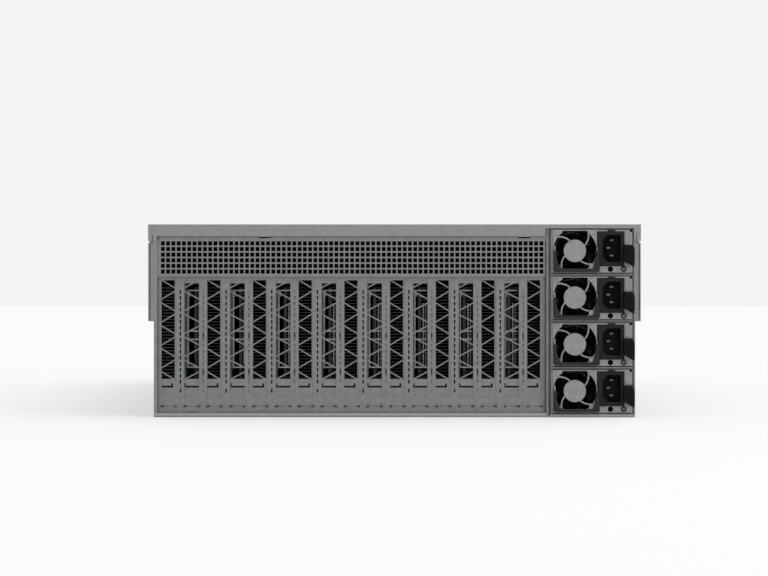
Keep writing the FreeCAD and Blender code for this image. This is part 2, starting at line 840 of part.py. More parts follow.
def fin_stack(name, board_face, reach, pedestal="pedestal_height", plate="fin_base"):
    """Horizontal fins on a base plate that stands off the board on a pedestal."""
    made = new_body(name)
    base_x = f"({board_face} + {pedestal})"
    fin_x = f"({base_x} + {plate})"
    low = "(board_bottom + board_height / 2 - (fin_count - 1) / 2 * fin_pitch)"
    fin_y = "(card_y + fin_start)"
    base = rear_sketch(made, fin_y)
    rectangle(base, base_x, fin_x, low, f"{low} + (fin_count - 1) * fin_pitch + fin_thickness")
    pad(made, base, "fin_length")
    foot = side_sketch(made, board_face)
    mid_y = f"({fin_y} + fin_length / 2)"
    mid_z = "(board_bottom + board_height / 2)"
    rectangle(
        foot, f"{mid_y} - pedestal_side / 2", f"{mid_y} + pedestal_side / 2",
        f"{mid_z} - pedestal_side / 2", f"{mid_z} + pedestal_side / 2",
    )
    pad(made, foot, pedestal, reverse=False)
    fin = rear_sketch(made, fin_y)
    rectangle(fin, fin_x, f"{fin_x} + {reach}", low, f"{low} + fin_thickness")
    fins = pad(made, fin, "fin_length")
    row_pattern(made, fins, fin, "V_Axis", "fin_pitch", "fin_count")
    return made


def shroud(name, board_face):
    """A folded cover over the fins, closed on the far side, open at both ends."""
    made = new_body(name)
    far = f"({board_face} + pedestal_height + fin_base + fin_reach)"
    low = "(board_bottom + shroud_sheet)"
    high = "(board_top - shroud_sheet)"
    profile = rear_sketch(made, "card_y + fin_start - shroud_sheet")
    outline(profile, [
        (board_face, "board_bottom"),
        (f"{far} + shroud_sheet", "board_bottom"),
        (f"{far} + shroud_sheet", "board_top"),
        (board_face, "board_top"),
        (board_face, high),
        (far, high),
        (far, low),
        (board_face, low),
    ])
    pad(made, profile, "fin_length + 2 * shroud_sheet")
    return made


slim_face = "(slot_left + slim_board_offset + board_thickness)"
board_faces = [f"({middle} - board_offset + board_thickness)" for middle in card_middles]
all_faces = [slim_face] + board_faces
keep(group("card_boards", [
    card_board(f"card_board_{k}", f"({face} - board_thickness)") for k, face in enumerate(all_faces)
]))
keep(group("card_end_frames", [end_frame(f"end_frame_{k}", face) for k, face in enumerate(board_faces)]))
keep(group("card_heatsinks", [fin_stack("fin_stack_slim", slim_face, "slim_fin_reach", "slim_pedestal", "slim_base")] + [
    fin_stack(f"fin_stack_{k}", face, "fin_reach") for k, face in enumerate(board_faces)
]))
keep(group("card_shrouds", [shroud(f"shroud_{k}", face) for k, face in enumerate(board_faces)]))

# Slot board on its stand-offs, with one grooved connector per card
slot_board = keep(box(
    "slot_board", (slot_board_left, slot_board_y, "floor_board"),
    (slot_board_right, f"{slot_board_y} + slot_board_length", "floor_top"),
))
connectors = []
for k, face in enumerate(all_faces):
    mid_x = f"({face} - board_thickness / 2)"
    near_y = "(card_y + edge_tab_start - connector_overhang)"
    far_y = "(card_y + edge_tab_start + edge_tab_length + connector_overhang)"
    half_groove = "(board_thickness / 2 + edge_tab_fit)"
    block = box(
        f"connector_block_{k}", (f"{mid_x} - connector_width / 2", near_y, "floor_top"),
        (f"{mid_x} + connector_width / 2", far_y, "connector_top"),
    )
    groove = box(
        f"connector_groove_{k}",
        (f"{mid_x} - {half_groove}", "card_y + edge_tab_start - edge_tab_fit", "floor_top + groove_floor"),
        (f"{mid_x} + {half_groove}", "card_y + edge_tab_start + edge_tab_length + edge_tab_fit", "connector_top + 1"),
    )
    connectors.append(cut(f"connector_{k}", block, [groove]))
keep(group("card_slots", connectors))

# Main board with two finned coolers and four rows of memory modules in their sockets
keep(box(
    "main_board", (main_board_left, "main_board_y", "floor_board"),
    ("main_board_width / 2", "main_board_y + main_board_length", "floor_top"),
))


def cooler(name, middle):
    made = new_body(name)
    low_y = "(cooler_y - cooler_length / 2)"
    base = rear_sketch(made, low_y)
    left = f"({middle} - cooler_width / 2)"
    rectangle(base, left, f"{left} + cooler_width", "floor_top", "floor_top + cooler_base")
    pad(made, base, "cooler_length")
    fin = rear_sketch(made, low_y)
    rectangle(
        fin, left, f"{left} + cooler_fin_thickness",
        "floor_top + cooler_base", "floor_top + cooler_base + cooler_height",
    )
    fins = pad(made, fin, "cooler_length")
    pitch = "(cooler_width - cooler_fin_thickness) / (cooler_fin_count - 1)"
    row_pattern(made, fins, fin, "H_Axis", pitch, "cooler_fin_count")
    return made


keep(group("cpu_coolers", [cooler("cooler_left", "(-cooler_spread / 2)"), cooler("cooler_right", "(cooler_spread / 2)")]))


def memory_bank(name, first_x, step, number_in_bank):
    """Modules side by side, each standing in its socket."""
    made = []
    for i in range(number_in_bank):
        mid_x = f"({first_x} + {step * i} * module_pitch)"
        socket = box(
            f"{name}_socket_{i}",
            (f"{mid_x} - module_socket_width / 2", "cooler_y - module_length / 2", "floor_top"),
            (f"{mid_x} + module_socket_width / 2", "cooler_y + module_length / 2", "floor_top + module_socket_height"),
        )
        stick = box(
            f"{name}_stick_{i}",
            (f"{mid_x} - module_thickness / 2", "cooler_y - module_length / 2", "floor_top + module_socket_height"),
            (f"{mid_x} + module_thickness / 2", "cooler_y + module_length / 2",
             "floor_top + module_socket_height + module_height"),
        )
        made.append(fuse(f"{name}_{i}", [socket, stick]))
    return made


bank_size = int(number("module_count"))
bank_gap = "(cooler_width / 2 + module_socket_width)"
keep(group("memory_modules", [
    *memory_bank("bank_outer_left", f"(-cooler_spread / 2 - {bank_gap})", -1, bank_size),
    *memory_bank("bank_inner_left", f"(-cooler_spread / 2 + {bank_gap})", 1, bank_size),
    *memory_bank("bank_inner_right", f"(cooler_spread / 2 - {bank_gap})", -1, bank_size),
    *memory_bank("bank_outer_right", f"(cooler_spread / 2 + {bank_gap})", 1, bank_size),
]))


# Fan rotors: hub, shaft and twisted blades lofted between a root and a tip section
def rotor(label, hub_dia, tip_dia, depth, shaft_dia, shaft_start, shaft_length, blades, at):
    """A rotor turning about its own Y axis, hub from Y = 0 to its depth, moved to its seat."""
    made = new_body(label)
    hub = rear_sketch(made, "0")
    circle(hub, "0", "0", hub_dia)
    pad(made, hub, depth)
    shaft = rear_sketch(made, shaft_start)
    circle(shaft, "0", "0", shaft_dia)
    pad(made, shaft, shaft_length)
    sections = []
    root_x = f"({hub_dia} * 0.36)"
    tip_x = f"({tip_dia} * 0.46)"
    for x, lean, half in ((root_x, 0.30, f"({hub_dia} * 0.30)"), (tip_x, 0.24, f"({tip_dia} * 0.17)")):
        blade = side_sketch(made, x)
        near = f"({depth} * {0.5 - lean})"
        far = f"({depth} * {0.5 + lean})"
        thick = f"({depth} * 0.07)"
        outline(blade, [
            (near, f"-{half}"),
            (f"{near} + {thick}", f"-{half}"),
            (f"{far} + {thick}", half),
            (far, half),
        ])
        sections.append(blade)
    loft = made.newObject("PartDesign::AdditiveLoft", f"{made.Name}_blade")
    loft.Profile = sections[0]
    loft.Sections = [sections[1]]
    loft.Ruled = True
    ring = made.newObject("PartDesign::PolarPattern", f"{made.Name}_ring")
    ring.Originals = [loft]
    ring.Axis = (next(f for f in made.Origin.OriginFeatures if f.Role == "Y_Axis"), [""])
    ring.Angle = 360
    ring.setExpression("Occurrences", bound(blades))
    made.Tip = ring
    place(made, at)
    return keep(made)


# Fan wall across the chassis, with three framed fans on its front side
wall = new_body("fan_wall")
sheet_cut = rear_sketch(wall, "fan_wall_y")
rectangle(sheet_cut, "-low_in", "low_in", "sheet", "cage_top")
pad(wall, sheet_cut, "sheet")
mouth = rear_sketch(wall, "fan_wall_y")
first_fan = "(-(fan_count - 1) / 2 * fan_pitch)"
circle(mouth, first_fan, "fan_height", "fan_bore_dia")
mouths = pocket(wall, mouth, "2 * sheet")
row_pattern(wall, mouths, mouth, "H_Axis", "fan_pitch", "fan_count")
keep(wall)

frames = []
spider_y = "(fan_thickness - fan_spider)"
for i in range(int(number("fan_count"))):
    mid_x = f"({first_fan} + {i} * fan_pitch)"
    frame = new_body(f"fan_frame_{i + 1}")
    rim = rear_sketch(frame, "0")
    half = "(fan_size / 2)"
    rectangle(rim, f"-{half}", half, f"-{half}", half)
    circle(rim, "0", "0", "fan_bore_dia")
    pad(frame, rim, "fan_thickness")
    boss = rear_sketch(frame, spider_y)
    circle(boss, "0", "0", "fan_hub_dia")
    pad(frame, boss, "fan_spider")
    for across, up in (("fan_size / 2", "fan_strut / 2"), ("fan_strut / 2", "fan_size / 2")):
        strut = rear_sketch(frame, spider_y)
        rectangle(strut, f"-{across}", across, f"-{up}", up)
        pad(frame, strut, "fan_spider")
    bearing = rear_sketch(frame, spider_y)
    circle(bearing, "0", "0", "fan_shaft_dia + 2 * shaft_fit")
    pocket(frame, bearing, "fan_spider")
    place(frame, (mid_x, "fan_y", "fan_height"))
    frames.append(frame)
    rotor_depth = f"({spider_y} - 2 * running_gap)"
    rotor(
        f"fan_rotor_{i + 1}", "fan_hub_dia", "(fan_bore_dia - 2 * fan_tip_gap)", rotor_depth,
        "fan_shaft_dia", rotor_depth, "fan_spider", "fan_blades",
        (mid_x, "fan_y + running_gap", "fan_height"),
    )
keep(group("fan_frames", frames))

# Front panel with rows of intake slots and the hole of the power button
front = new_body("front_panel")
face = rear_sketch(front, "panel_front_y")
rectangle(face, "-top_x", "top_x", "0", "height")
pad(front, face, "sheet")
slit = rear_sketch(front, "panel_front_y")
slit_left = "(-(intake_columns - 1) / 2 * intake_pitch_across - intake_width / 2)"
slit_low = "(ear_mid - (intake_rows - 1) / 2 * intake_pitch_up - intake_height / 2)"
rectangle(slit, slit_left, f"{slit_left} + intake_width", slit_low, f"{slit_low} + intake_height")
slits = pocket(front, slit, "sheet")
grid_pattern(front, slits, slit, "intake_pitch_across", "intake_columns", "intake_pitch_up", "intake_rows")
button_x = "(top_x - button_inset)"
hole = rear_sketch(front, "panel_front_y")
circle(hole, button_x, "button_height", "button_dia + 2 * sliding_gap")
pocket(front, hole, "sheet")
keep(front)

button_back = "(panel_front_y - sliding_gap - button_flange)"
keep(fuse("power_button", [
    rod("button_cap", "button_dia", (button_x, button_back, "button_height"),
        f"front_y + button_proud - {button_back}", "y"),
    rod("button_flange_disc", "button_dia + 2 * (sliding_gap + button_flange_lip)",
        (button_x, button_back, "button_height"), "button_flange", "y"),
]))


# Rack ears: angle brackets on the side walls, each with two rack holes and a bow handle between them
def rack_ear(label, side):
    made = new_body(label)
    s = f"{side} * "
    plate = rear_sketch(made, "front_y - ear_sheet")
    rectangle(plate, f"{s}top_x", f"{s}rack_width / 2", "0", "height")
    pad(made, plate, "ear_sheet")
    flange = rear_sketch(made, "front_y - ear_sheet - ear_flange")
    rectangle(
        flange, f"{s}top_x", f"{s}(top_x + ear_sheet)",
        "jog_height + ear_flange_inset", "shoulder_z - ear_flange_inset",
    )
    pad(made, flange, "ear_flange")
    bolt = rear_sketch(made, "front_y - ear_sheet")
    circle(bolt, f"{s}rack_hole_spread / 2", "ear_mid - rack_hole_rise / 2", "rack_hole_dia")
    bolts = pocket(made, bolt, "ear_sheet")
    row_pattern(made, bolts, bolt, "V_Axis", "rack_hole_rise", "2")
    return keep(made)


def bow_handle(label, side):
    """A bow of square bar with rounded corners, standing on the ear."""
    made = new_body(label)
    x = f"({side} * ((top_x + rack_width / 2) / 2 + grip_offset / 2) - grip_bar / 2)"
    low = "(ear_mid - grip_height / 2)"
    high = "(ear_mid + grip_height / 2)"
    bow = side_sketch(made, x)
    outline(bow, [
        ("front_y", low),
        ("front_y + grip_reach", low),
        ("front_y + grip_reach", high),
        ("front_y", high),
        ("front_y", f"{high} - grip_bar"),
        ("front_y + grip_reach - grip_bar", f"{high} - grip_bar"),
        ("front_y + grip_reach - grip_bar", f"{low} + grip_bar"),
        ("front_y", f"{low} + grip_bar"),
    ])
    body = pad(made, bow, "grip_bar", reverse=False)
    doc.recompute()
    foot_y = number("front_y")
    edges = []
    for i, edge in enumerate(body.Shape.Edges, start=1):
        start, end = (v.Point for v in edge.Vertexes)
        if abs(end.x - start.x) > 1 and start.y > foot_y + 1:
            edges.append(f"Edge{i}")
    rounded = made.newObject("PartDesign::Fillet", f"{label}_round")
    rounded.Base = (body, edges)
    rounded.setExpression("Radius", bound("grip_round"))
    return keep(made)


for side, name in ((-1, "left"), (1, "right")):
    rack_ear(f"{name}_ear", side)
    bow_handle(f"{name}_handle", side)

# Power-supply cage: a sheet-metal tube with one bay per supply
supplies = int(number("psu_count"))
bays = []
for n in range(supplies):
    bays.append(box(
        f"bay_{n}",
        ("psu_left - psu_gap", "cage_y - 1", f"psu_floor - psu_gap + {n} * psu_pitch"),
        ("psu_left + psu_width + psu_gap", "cage_end + 1", f"psu_floor + psu_height + psu_gap + {n} * psu_pitch"),
    ))
shell = box("cage_block", ("cage_left", "cage_y", "sheet"), ("low_in", "cage_end", "cage_top"))
keep(cut("psu_cage", shell, bays))

# Power backplane: upright board on the end of the cage with one socket per bay
plugs = [box("backplane_board", ("cage_left", "cage_end", "sheet"), ("low_in", "cage_end + backplane_sheet", "cage_top"))]
for n in range(supplies):
    mid_z = f"(psu_floor + psu_height / 2 + {n} * psu_pitch)"
    mid_x = "(psu_left + psu_width / 2)"
    plugs.append(box(
        f"backplane_plug_{n}",
        (f"{mid_x} - backplane_plug_width / 2", "rear_y + psu_length + psu_gap", f"{mid_z} - backplane_plug_height / 2"),
        (f"{mid_x} + backplane_plug_width / 2", "cage_end", f"{mid_z} + backplane_plug_height / 2"),
    ))
keep(fuse("power_backplane", plugs))


# One hot-swap power supply, drawn in its own frame: X from its left side, Y from its face, Z from its floor
fan_x = "guard_centre"
fan_z = "(psu_height / 2)"
latch_right = "(psu_width - latch_side_inset)"
latch_left = f"({latch_right} - latch_neck)"
pivot_x = f"({latch_right} - latch_neck / 2)"
mouth_x = "(inlet_start + inlet_mouth_start)"
mouth_z = "(inlet_foot + inlet_mouth_foot)"
pivot_y = "(-inlet_proud - bail_gap - bail_depth / 2)"
pivot_z = "(lug_foot + lug_height / 2)"


def supply_case(label):
    """Closed case with a fan well flat at head and foot, an inlet well, a latch corner, a notch and two round holes."""
    made = new_body(label)
    face = rear_sketch(made, "0")
    rectangle(face, "0", "psu_width", "0", "psu_height")
    pad(made, face, "psu_length")
    well = rear_sketch(made, "0")
    circle(well, fan_x, fan_z, "guard_bore_dia")
    pocket(made, well, "rotor_pocket")
    head = rear_sketch(made, "0")
    rectangle(head, f"{fan_x} - guard_flat_left", f"{fan_x} + guard_flat_right", fan_z, f"{fan_z} + guard_flat_top")
    pocket(made, head, "rotor_pocket")
    sump = rear_sketch(made, "0")
    rectangle(sump, f"{fan_x} - guard_flat_low_left", f"{fan_x} + guard_flat_low_right", f"{fan_z} - guard_flat_low", fan_z)
    pocket(made, sump, "rotor_pocket")
    notch = rear_sketch(made, "0")
    notch_right = "(psu_width - corner_notch_inset)"
    rectangle(notch, f"{notch_right} - corner_notch", notch_right, "psu_height - corner_notch", "psu_height")
    pocket(made, notch, "corner_notch_depth")
    socket = rear_sketch(made, "0")
    rectangle(socket, "inlet_start", "inlet_start + inlet_width", "inlet_foot", "inlet_foot + inlet_height")
    pocket(made, socket, "inlet_sink")
    corner = rear_sketch(made, "0")
    rectangle(
        corner, f"{latch_left} - latch_room - latch_pin_dia / 4", "psu_width + 1",
        "latch_foot - latch_room", "latch_foot + latch_height + latch_room",
    )
    pocket(made, corner, "latch_root + 2 * latch_room")
    pin = top_sketch(made, "latch_foot - latch_room - latch_pin_length")
    circle(pin, pivot_x, "latch_pivot_depth", "latch_pin_dia + 2 * shaft_fit")
    pocket(made, pin, "latch_height + 2 * latch_room + 2 * latch_pin_length", reverse=True)
    for from_right, dia in (
        ("indicator_from_right", "indicator_dia"),
        ("screw_hole_from_right", "screw_hole_dia"),
    ):
        dot = rear_sketch(made, "0")
        circle(dot, f"psu_width - {from_right}", "indicator_height", dia)
        pocket(made, dot, "indicator_depth")
    return made


def guard_arms():
    """Four swept arms from the hub disc to the rim, each bounded by two arcs."""
    inner = number("guard_hub_dia / 2") - 0.4
    outer = number("guard_bore_dia / 2") + 0.35
    sweep = math.radians(number("guard_arm_sweep"))
    half = number("guard_arm / 2")
    bulge = number("guard_arm_bulge")
    thick = number("guard_sheet")

    def edge(offset):
        start = Vector(inner, offset, 0)
        end = Vector(outer * math.cos(sweep), outer * math.sin(sweep) + offset, 0)
        along = (end - start).normalize()
        middle = (start + end) * 0.5 + Vector(along.y, -along.x, 0) * bulge
        return Part.Arc(start, middle, end).toShape(), start, end

    low, low_start, low_end = edge(-half)
    high, high_start, high_end = edge(half)
    wire = Part.Wire([low, Part.makeLine(low_end, high_end), high, Part.makeLine(high_start, low_start)])
    arm = Part.Face(wire).extrude(Vector(0, 0, thick))
    arms = []
    for k in range(4):
        turned = arm.copy()
        turned.rotate(Vector(), Vector(0, 0, 1), 27 + 90 * k)
        arms.append(turned)
    return Part.makeCompound(arms)


def fan_guard(label):
    """Square rim round a bore flat at head and foot, hub disc on four swept arms, bearing boss, two lugs for the bail."""
    half = "(guard_size / 2)"
    front = "(-guard_sheet)"
    rim = cut(
        f"{label}_rim",
        box(f"{label}_plate", (f"{fan_x} - {half}", front, f"{fan_z} - {half}"),
            (f"{fan_x} + {half}", "0", f"{fan_z} + {half}")),
        [rod(f"{label}_bore", "guard_bore_dia", (fan_x, f"{front} - 1", fan_z), "guard_sheet + 2", "y"),
         box(f"{label}_head", (f"{fan_x} - guard_flat_left", f"{front} - 1", fan_z),
             (f"{fan_x} + guard_flat_right", "1", f"{fan_z} + guard_flat_top")),
         box(f"{label}_sump", (f"{fan_x} - guard_flat_low_left", f"{front} - 1", f"{fan_z} - guard_flat_low"),
             (f"{fan_x} + guard_flat_low_right", "1", fan_z))],
    )
    hub = rod(f"{label}_hub", "guard_hub_dia", (fan_x, front, fan_z), "guard_sheet", "y")
    boss = rod(f"{label}_boss", "guard_boss_dia", (fan_x, "0", fan_z), "guard_boss", "y")
    arms = doc.addObject("Part::Feature", f"{label}_arms")
    arms.Shape = guard_arms()
    arms.Placement = Placement(Vector(), Rotation(Vector(1, 0, 0), 90))
    place(arms, (fan_x, "0", fan_z))
    lug_back = "(-guard_sheet)"
    tongue_front = "(-inlet_proud)"
    lug_front = f"({pivot_y} - bail_depth / 2)"
    pieces = [rim, hub, boss, arms]
    leg_gap = "(bail_bar + bail_gap)"
    left_leg = "bail_left"
    right_leg = "(bail_left + bail_width)"
    for name, start, end, lug_start, pin_start in (
        ("left", f"{fan_x} - {half}", f"{left_leg} + {leg_gap} + lug_sheet",
         f"{left_leg} + {leg_gap}", f"{left_leg} + bail_bar / 4"),
        ("right", f"{right_leg} - {leg_gap} - lug_sheet", f"{fan_x} + {half}",
         f"{right_leg} - {leg_gap} - lug_sheet", f"{right_leg} - {leg_gap}"),
    ):
        pieces.append(box(f"{label}_{name}_tongue", (start, tongue_front, "lug_foot"),
                          (end, lug_back, "lug_foot + lug_height")))
        pieces.append(box(f"{label}_{name}_lug", (lug_start, lug_front, "lug_foot"),
                          (f"{lug_start} + lug_sheet", lug_back, "lug_foot + lug_height")))
        pieces.append(rod(f"{label}_{name}_pin", "bail_pivot_dia", (pin_start, pivot_y, pivot_z),
                          "bail_bar * 3 / 4 + bail_gap", "x"))
    solid = fuse(f"{label}_solid", pieces)
    bearing = rod(f"{label}_bearing", "rotor_shaft_dia + 2 * shaft_fit",
                  (fan_x, "-guard_sheet / 2", fan_z), "guard_sheet / 2 + guard_boss + 1", "y")
    return cut(label, solid, [bearing])


def power_inlet(label):
    """Moulded inlet block with a chamfered mouth, a snap rib on top and three blade pins in the floor."""
    made = new_body(label)
    front = "(-inlet_proud)"
    block = rear_sketch(made, front)
    rectangle(block, "inlet_start", "inlet_start + inlet_width", "inlet_foot", "inlet_foot + inlet_height")
    pad(made, block, "inlet_proud + inlet_sink")
    rib = rear_sketch(made, front)
    mid = "(inlet_start + inlet_width / 2)"
    rectangle(rib, f"{mid} - inlet_width / 5", f"{mid} + inlet_width / 5",
              "inlet_foot + inlet_height", "psu_height")
    pad(made, rib, "inlet_proud - bail_gap")
    mouth = rear_sketch(made, front)
    right = f"({mouth_x} + inlet_mouth_width)"
    top = f"({mouth_z} + inlet_mouth_height)"
    outline(mouth, [
        (f"{mouth_x} + inlet_chamfer", mouth_z),
        (right, mouth_z),
        (right, top),
        (f"{mouth_x} + inlet_chamfer", top),
        (mouth_x, f"{top} - inlet_chamfer"),
        (mouth_x, f"{mouth_z} + inlet_chamfer"),
    ])
    pocket(made, mouth, "inlet_mouth_depth")
    pins = rear_sketch(made, f"{front} + pin_recess")
    mid_z = f"({mouth_z} + inlet_mouth_height / 2)"
    row_x = f"({mouth_x} + pin_row)"
    for x, z in (
        (row_x, f"{mid_z} - pin_pitch"),
        (row_x, f"{mid_z} + pin_pitch"),
        (f"{row_x} - earth_pin_shift", mid_z),
    ):
        rectangle(pins, x, f"{x} + pin_width", f"{z} - pin_thickness / 2", f"{z} + pin_thickness / 2")
    pad(made, pins, "inlet_mouth_depth - pin_recess")
    return made


def bail_handle(label):
    """Flat U-shaped pull handle, broad at the foot of its legs, hanging below the fan on two side pins."""
    made = new_body(label)
    left = "bail_left"
    right = "(bail_left + bail_width)"
    top = f"({pivot_z} + bail_depth / 2)"
    bow = rear_sketch(made, f"{pivot_y} - bail_depth / 2")
    outline(bow, [
        (left, "bail_foot"),
        (right, "bail_foot"),
        (right, top),
        (f"{right} - bail_bar", top),
        (f"{right} - bail_bar", "bail_gusset_top"),
        (f"{right} - bail_bar - bail_gusset", "bail_gusset_top - bail_gusset"),
        (f"{right} - bail_bar - bail_gusset", "bail_foot + bail_band"),
        (f"{left} + bail_bar + bail_gusset", "bail_foot + bail_band"),
        (f"{left} + bail_bar + bail_gusset", "bail_gusset_top - bail_gusset"),
        (f"{left} + bail_bar", "bail_gusset_top"),
        (f"{left} + bail_bar", top),
        (left, top),
    ])
    pad(made, bow, "bail_depth")
    eye = side_sketch(made, left)
    circle(eye, pivot_y, pivot_z, "bail_pivot_dia + 2 * shaft_fit")
    turned = pocket(made, eye, "bail_width", reverse=True)
    doc.recompute()
    end_z = number(top)
    edges = []
    for i, edge in enumerate(turned.Shape.Edges, start=1):
        ends = [v.Point for v in edge.Vertexes]
        if len(ends) == 2 and abs(ends[1].x - ends[0].x) > 1 and min(p.z for p in ends) > end_z - 0.001:
            edges.append(f"Edge{i}")
    rounded = made.newObject("PartDesign::Fillet", f"{label}_round")
    rounded.Base = (turned, edges)
    rounded.setExpression("Radius", bound("bail_depth / 2 - bail_end_flat"))
    return made


def release_latch(label):
    """Thumb latch: tapered, slanting pad outside, narrow root in the case corner, turning on an upright pin."""
    made = new_body(label)
    tip = "(-latch_reach)"
    low = "(latch_foot - latch_slope)"
    crown = "(latch_foot + latch_height)"
    pad_left = f"({latch_left} - latch_pad_left)"
    pad_right = f"({latch_right} + latch_pad_lean)"
    plan = top_sketch(made, low)
    outline(plan, [
        (latch_left, "latch_root"),
        (latch_right, "latch_root"),
        (latch_right, "-sheet"),
        (pad_right, "-latch_pad"),
        (pad_right, tip),
        (f"{pad_right} - latch_neck", tip),
        (pad_left, f"{tip} + latch_pad * 0.75"),
        (pad_left, "-latch_pad"),
        (latch_left, "-inlet_proud"),
    ])
    pad(made, plan, "latch_height + latch_slope", reverse=False)
    root = rear_sketch(made, "-sheet")
    rectangle(root, pad_left, pad_right, low, "latch_foot")
    pocket(made, root, "latch_root + sheet")
    slant = rear_sketch(made, tip)
    outline(slant, [(pad_left, low), (pad_right, low), (pad_left, "latch_foot")])
    outline(slant, [(pad_left, crown), (pad_right, crown), (pad_right, f"{crown} - latch_slope")])
    pocket(made, slant, "latch_reach - sheet")
    pin = top_sketch(made, "latch_foot - latch_pin_length")
    circle(pin, pivot_x, "latch_pivot_depth", "latch_pin_dia")
    pad(made, pin, "latch_height + 2 * latch_pin_length", reverse=False)
    return made


for n in range(supplies):
    tag = f"psu{supplies - n}"
    seat = ("psu_left", "rear_y", f"psu_floor + {n} * psu_pitch")
    for piece in (
        supply_case(f"{tag}_case"),
        fan_guard(f"{tag}_fan_guard"),
        power_inlet(f"{tag}_inlet"),
        bail_handle(f"{tag}_handle"),
        release_latch(f"{tag}_latch"),
    ):
        keep(place(piece, seat))
    rotor(
        f"{tag}_fan_rotor", "rotor_hub_dia", "(guard_bore_dia - 2 * rotor_tip_gap)", "rotor_depth",
        "rotor_shaft_dia", "-(guard_boss + running_gap) - guard_sheet / 4",
        "guard_boss + running_gap + guard_sheet / 4", "rotor_blades",
        (f"psu_left + {fan_x}", "rear_y + guard_boss + running_gap",
         f"psu_floor + {n} * psu_pitch + {fan_z}"),
    )

# Recompute, check every object and sub-part, then write one file per sub-part
doc.recompute()
faults = [obj.Label for obj in doc.Objects if {"Invalid", "Error"} & set(obj.State)]
for obj in nodes:
    if obj.Shape.isNull() or not obj.Shape.isValid() or not obj.Shape.Solids:
        faults.append(f"{obj.Label} shape")
if faults:
    raise RuntimeError("these objects failed: " + ", ".join(faults))
os.makedirs("parts", exist_ok=True)
for obj in nodes:
    obj.Shape.exportStep(f"parts/{obj.Label}.step")
print(f"{len(nodes)} sub-parts written")
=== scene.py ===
from math import cos, pi, radians, sin

import bmesh
import bpy
from mathutils import Matrix, Vector


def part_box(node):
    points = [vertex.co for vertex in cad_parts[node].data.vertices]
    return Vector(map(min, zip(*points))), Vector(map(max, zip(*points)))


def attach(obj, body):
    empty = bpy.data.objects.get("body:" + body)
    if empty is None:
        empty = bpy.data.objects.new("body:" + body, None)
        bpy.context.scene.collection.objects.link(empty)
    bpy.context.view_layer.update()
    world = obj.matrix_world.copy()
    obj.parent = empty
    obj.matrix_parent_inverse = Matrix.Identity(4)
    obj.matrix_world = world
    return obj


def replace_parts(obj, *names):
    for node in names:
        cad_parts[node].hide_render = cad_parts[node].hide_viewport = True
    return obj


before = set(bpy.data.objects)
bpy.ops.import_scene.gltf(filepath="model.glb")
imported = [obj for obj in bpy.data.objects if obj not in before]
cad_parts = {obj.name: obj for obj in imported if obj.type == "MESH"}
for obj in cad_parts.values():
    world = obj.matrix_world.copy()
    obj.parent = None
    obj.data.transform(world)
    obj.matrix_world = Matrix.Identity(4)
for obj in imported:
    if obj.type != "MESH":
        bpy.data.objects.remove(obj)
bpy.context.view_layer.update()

# Base pan and side walls: the folded shell that everything else is fixed to.
# Zinc-plated steel sheet, cut and bent on a press brake, then riveted along the foot of each wall.
# The rolled sheet shows a fine grain along its length and a faint crystal mottle of the zinc.
MM = 0.001


def tone(red, green, blue):
    """A colour as the eye sees it, 0 to 255, as the linear light that the shader works in."""
    return [((c / 255 + 0.055) / 1.055) ** 2.4 if c > 10 else c / 3294.6 for c in (red, green, blue)]


def finish(name, colour, metallic, roughness):
    """A new material with its plain values set on the shader."""
    made = bpy.data.materials.new(name)
    made.use_nodes = True
    shader = made.node_tree.nodes["Principled BSDF"]
    shader.inputs["Base Color"].default_value = (*colour, 1)
    shader.inputs["Metallic"].default_value = metallic
    shader.inputs["Roughness"].default_value = roughness
    return made


def pattern(material, kind, scale, stretch=(1, 1, 1), **values):
    """A texture node on the object's own coordinates, so many patches to the metre."""
    nodes, links = material.node_tree.nodes, material.node_tree.links
    where = nodes.new("ShaderNodeTexCoord")
    stretched = nodes.new("ShaderNodeMapping")
    stretched.inputs["Scale"].default_value = stretch
    made = nodes.new(kind)
    made.inputs["Scale"].default_value = scale
    for socket, value in values.items():
        made.inputs[socket].default_value = value
    links.new(where.outputs["Object"], stretched.inputs["Vector"])
    links.new(stretched.outputs["Vector"], made.inputs["Vector"])
    return made


def tint(material, amount, dark, light):
    """Colours the surface between two tones by a pattern."""
    mix = material.node_tree.nodes.new("ShaderNodeMix")
    mix.data_type = "RGBA"
    mix.inputs[6].default_value = (*dark, 1)
    mix.inputs[7].default_value = (*light, 1)
    material.node_tree.links.new(amount, mix.inputs[0])
    shader = material.node_tree.nodes["Principled BSDF"]
    material.node_tree.links.new(mix.outputs[2], shader.inputs["Base Color"])


PATTERN_LOW, PATTERN_HIGH = 0.3, 0.7


def polish(material, amount, smooth, dull):
    """Varies the roughness between two values by a pattern."""
    between = material.node_tree.nodes.new("ShaderNodeMapRange")
    between.inputs["From Min"].default_value = PATTERN_LOW
    between.inputs["From Max"].default_value = PATTERN_HIGH
    between.inputs["To Min"].default_value = smooth
    between.inputs["To Max"].default_value = dull
    material.node_tree.links.new(amount, between.inputs["Value"])
    shader = material.node_tree.nodes["Principled BSDF"]
    material.node_tree.links.new(between.outputs["Result"], shader.inputs["Roughness"])


def emboss(material, amount, depth):
    """Raises the surface by a pattern, depth in metres."""
    bump = material.node_tree.nodes.new("ShaderNodeBump")
    bump.inputs["Distance"].default_value = depth
    bump.inputs["Strength"].default_value = 1.0
    material.node_tree.links.new(amount, bump.inputs["Height"])
    shader = material.node_tree.nodes["Principled BSDF"]
    material.node_tree.links.new(bump.outputs["Normal"], shader.inputs["Normal"])


ZINC_METALLIC = 0.85
CRYSTALS, ROLL_LINES, ROLL_DEPTH = 210, 900, 0.00002


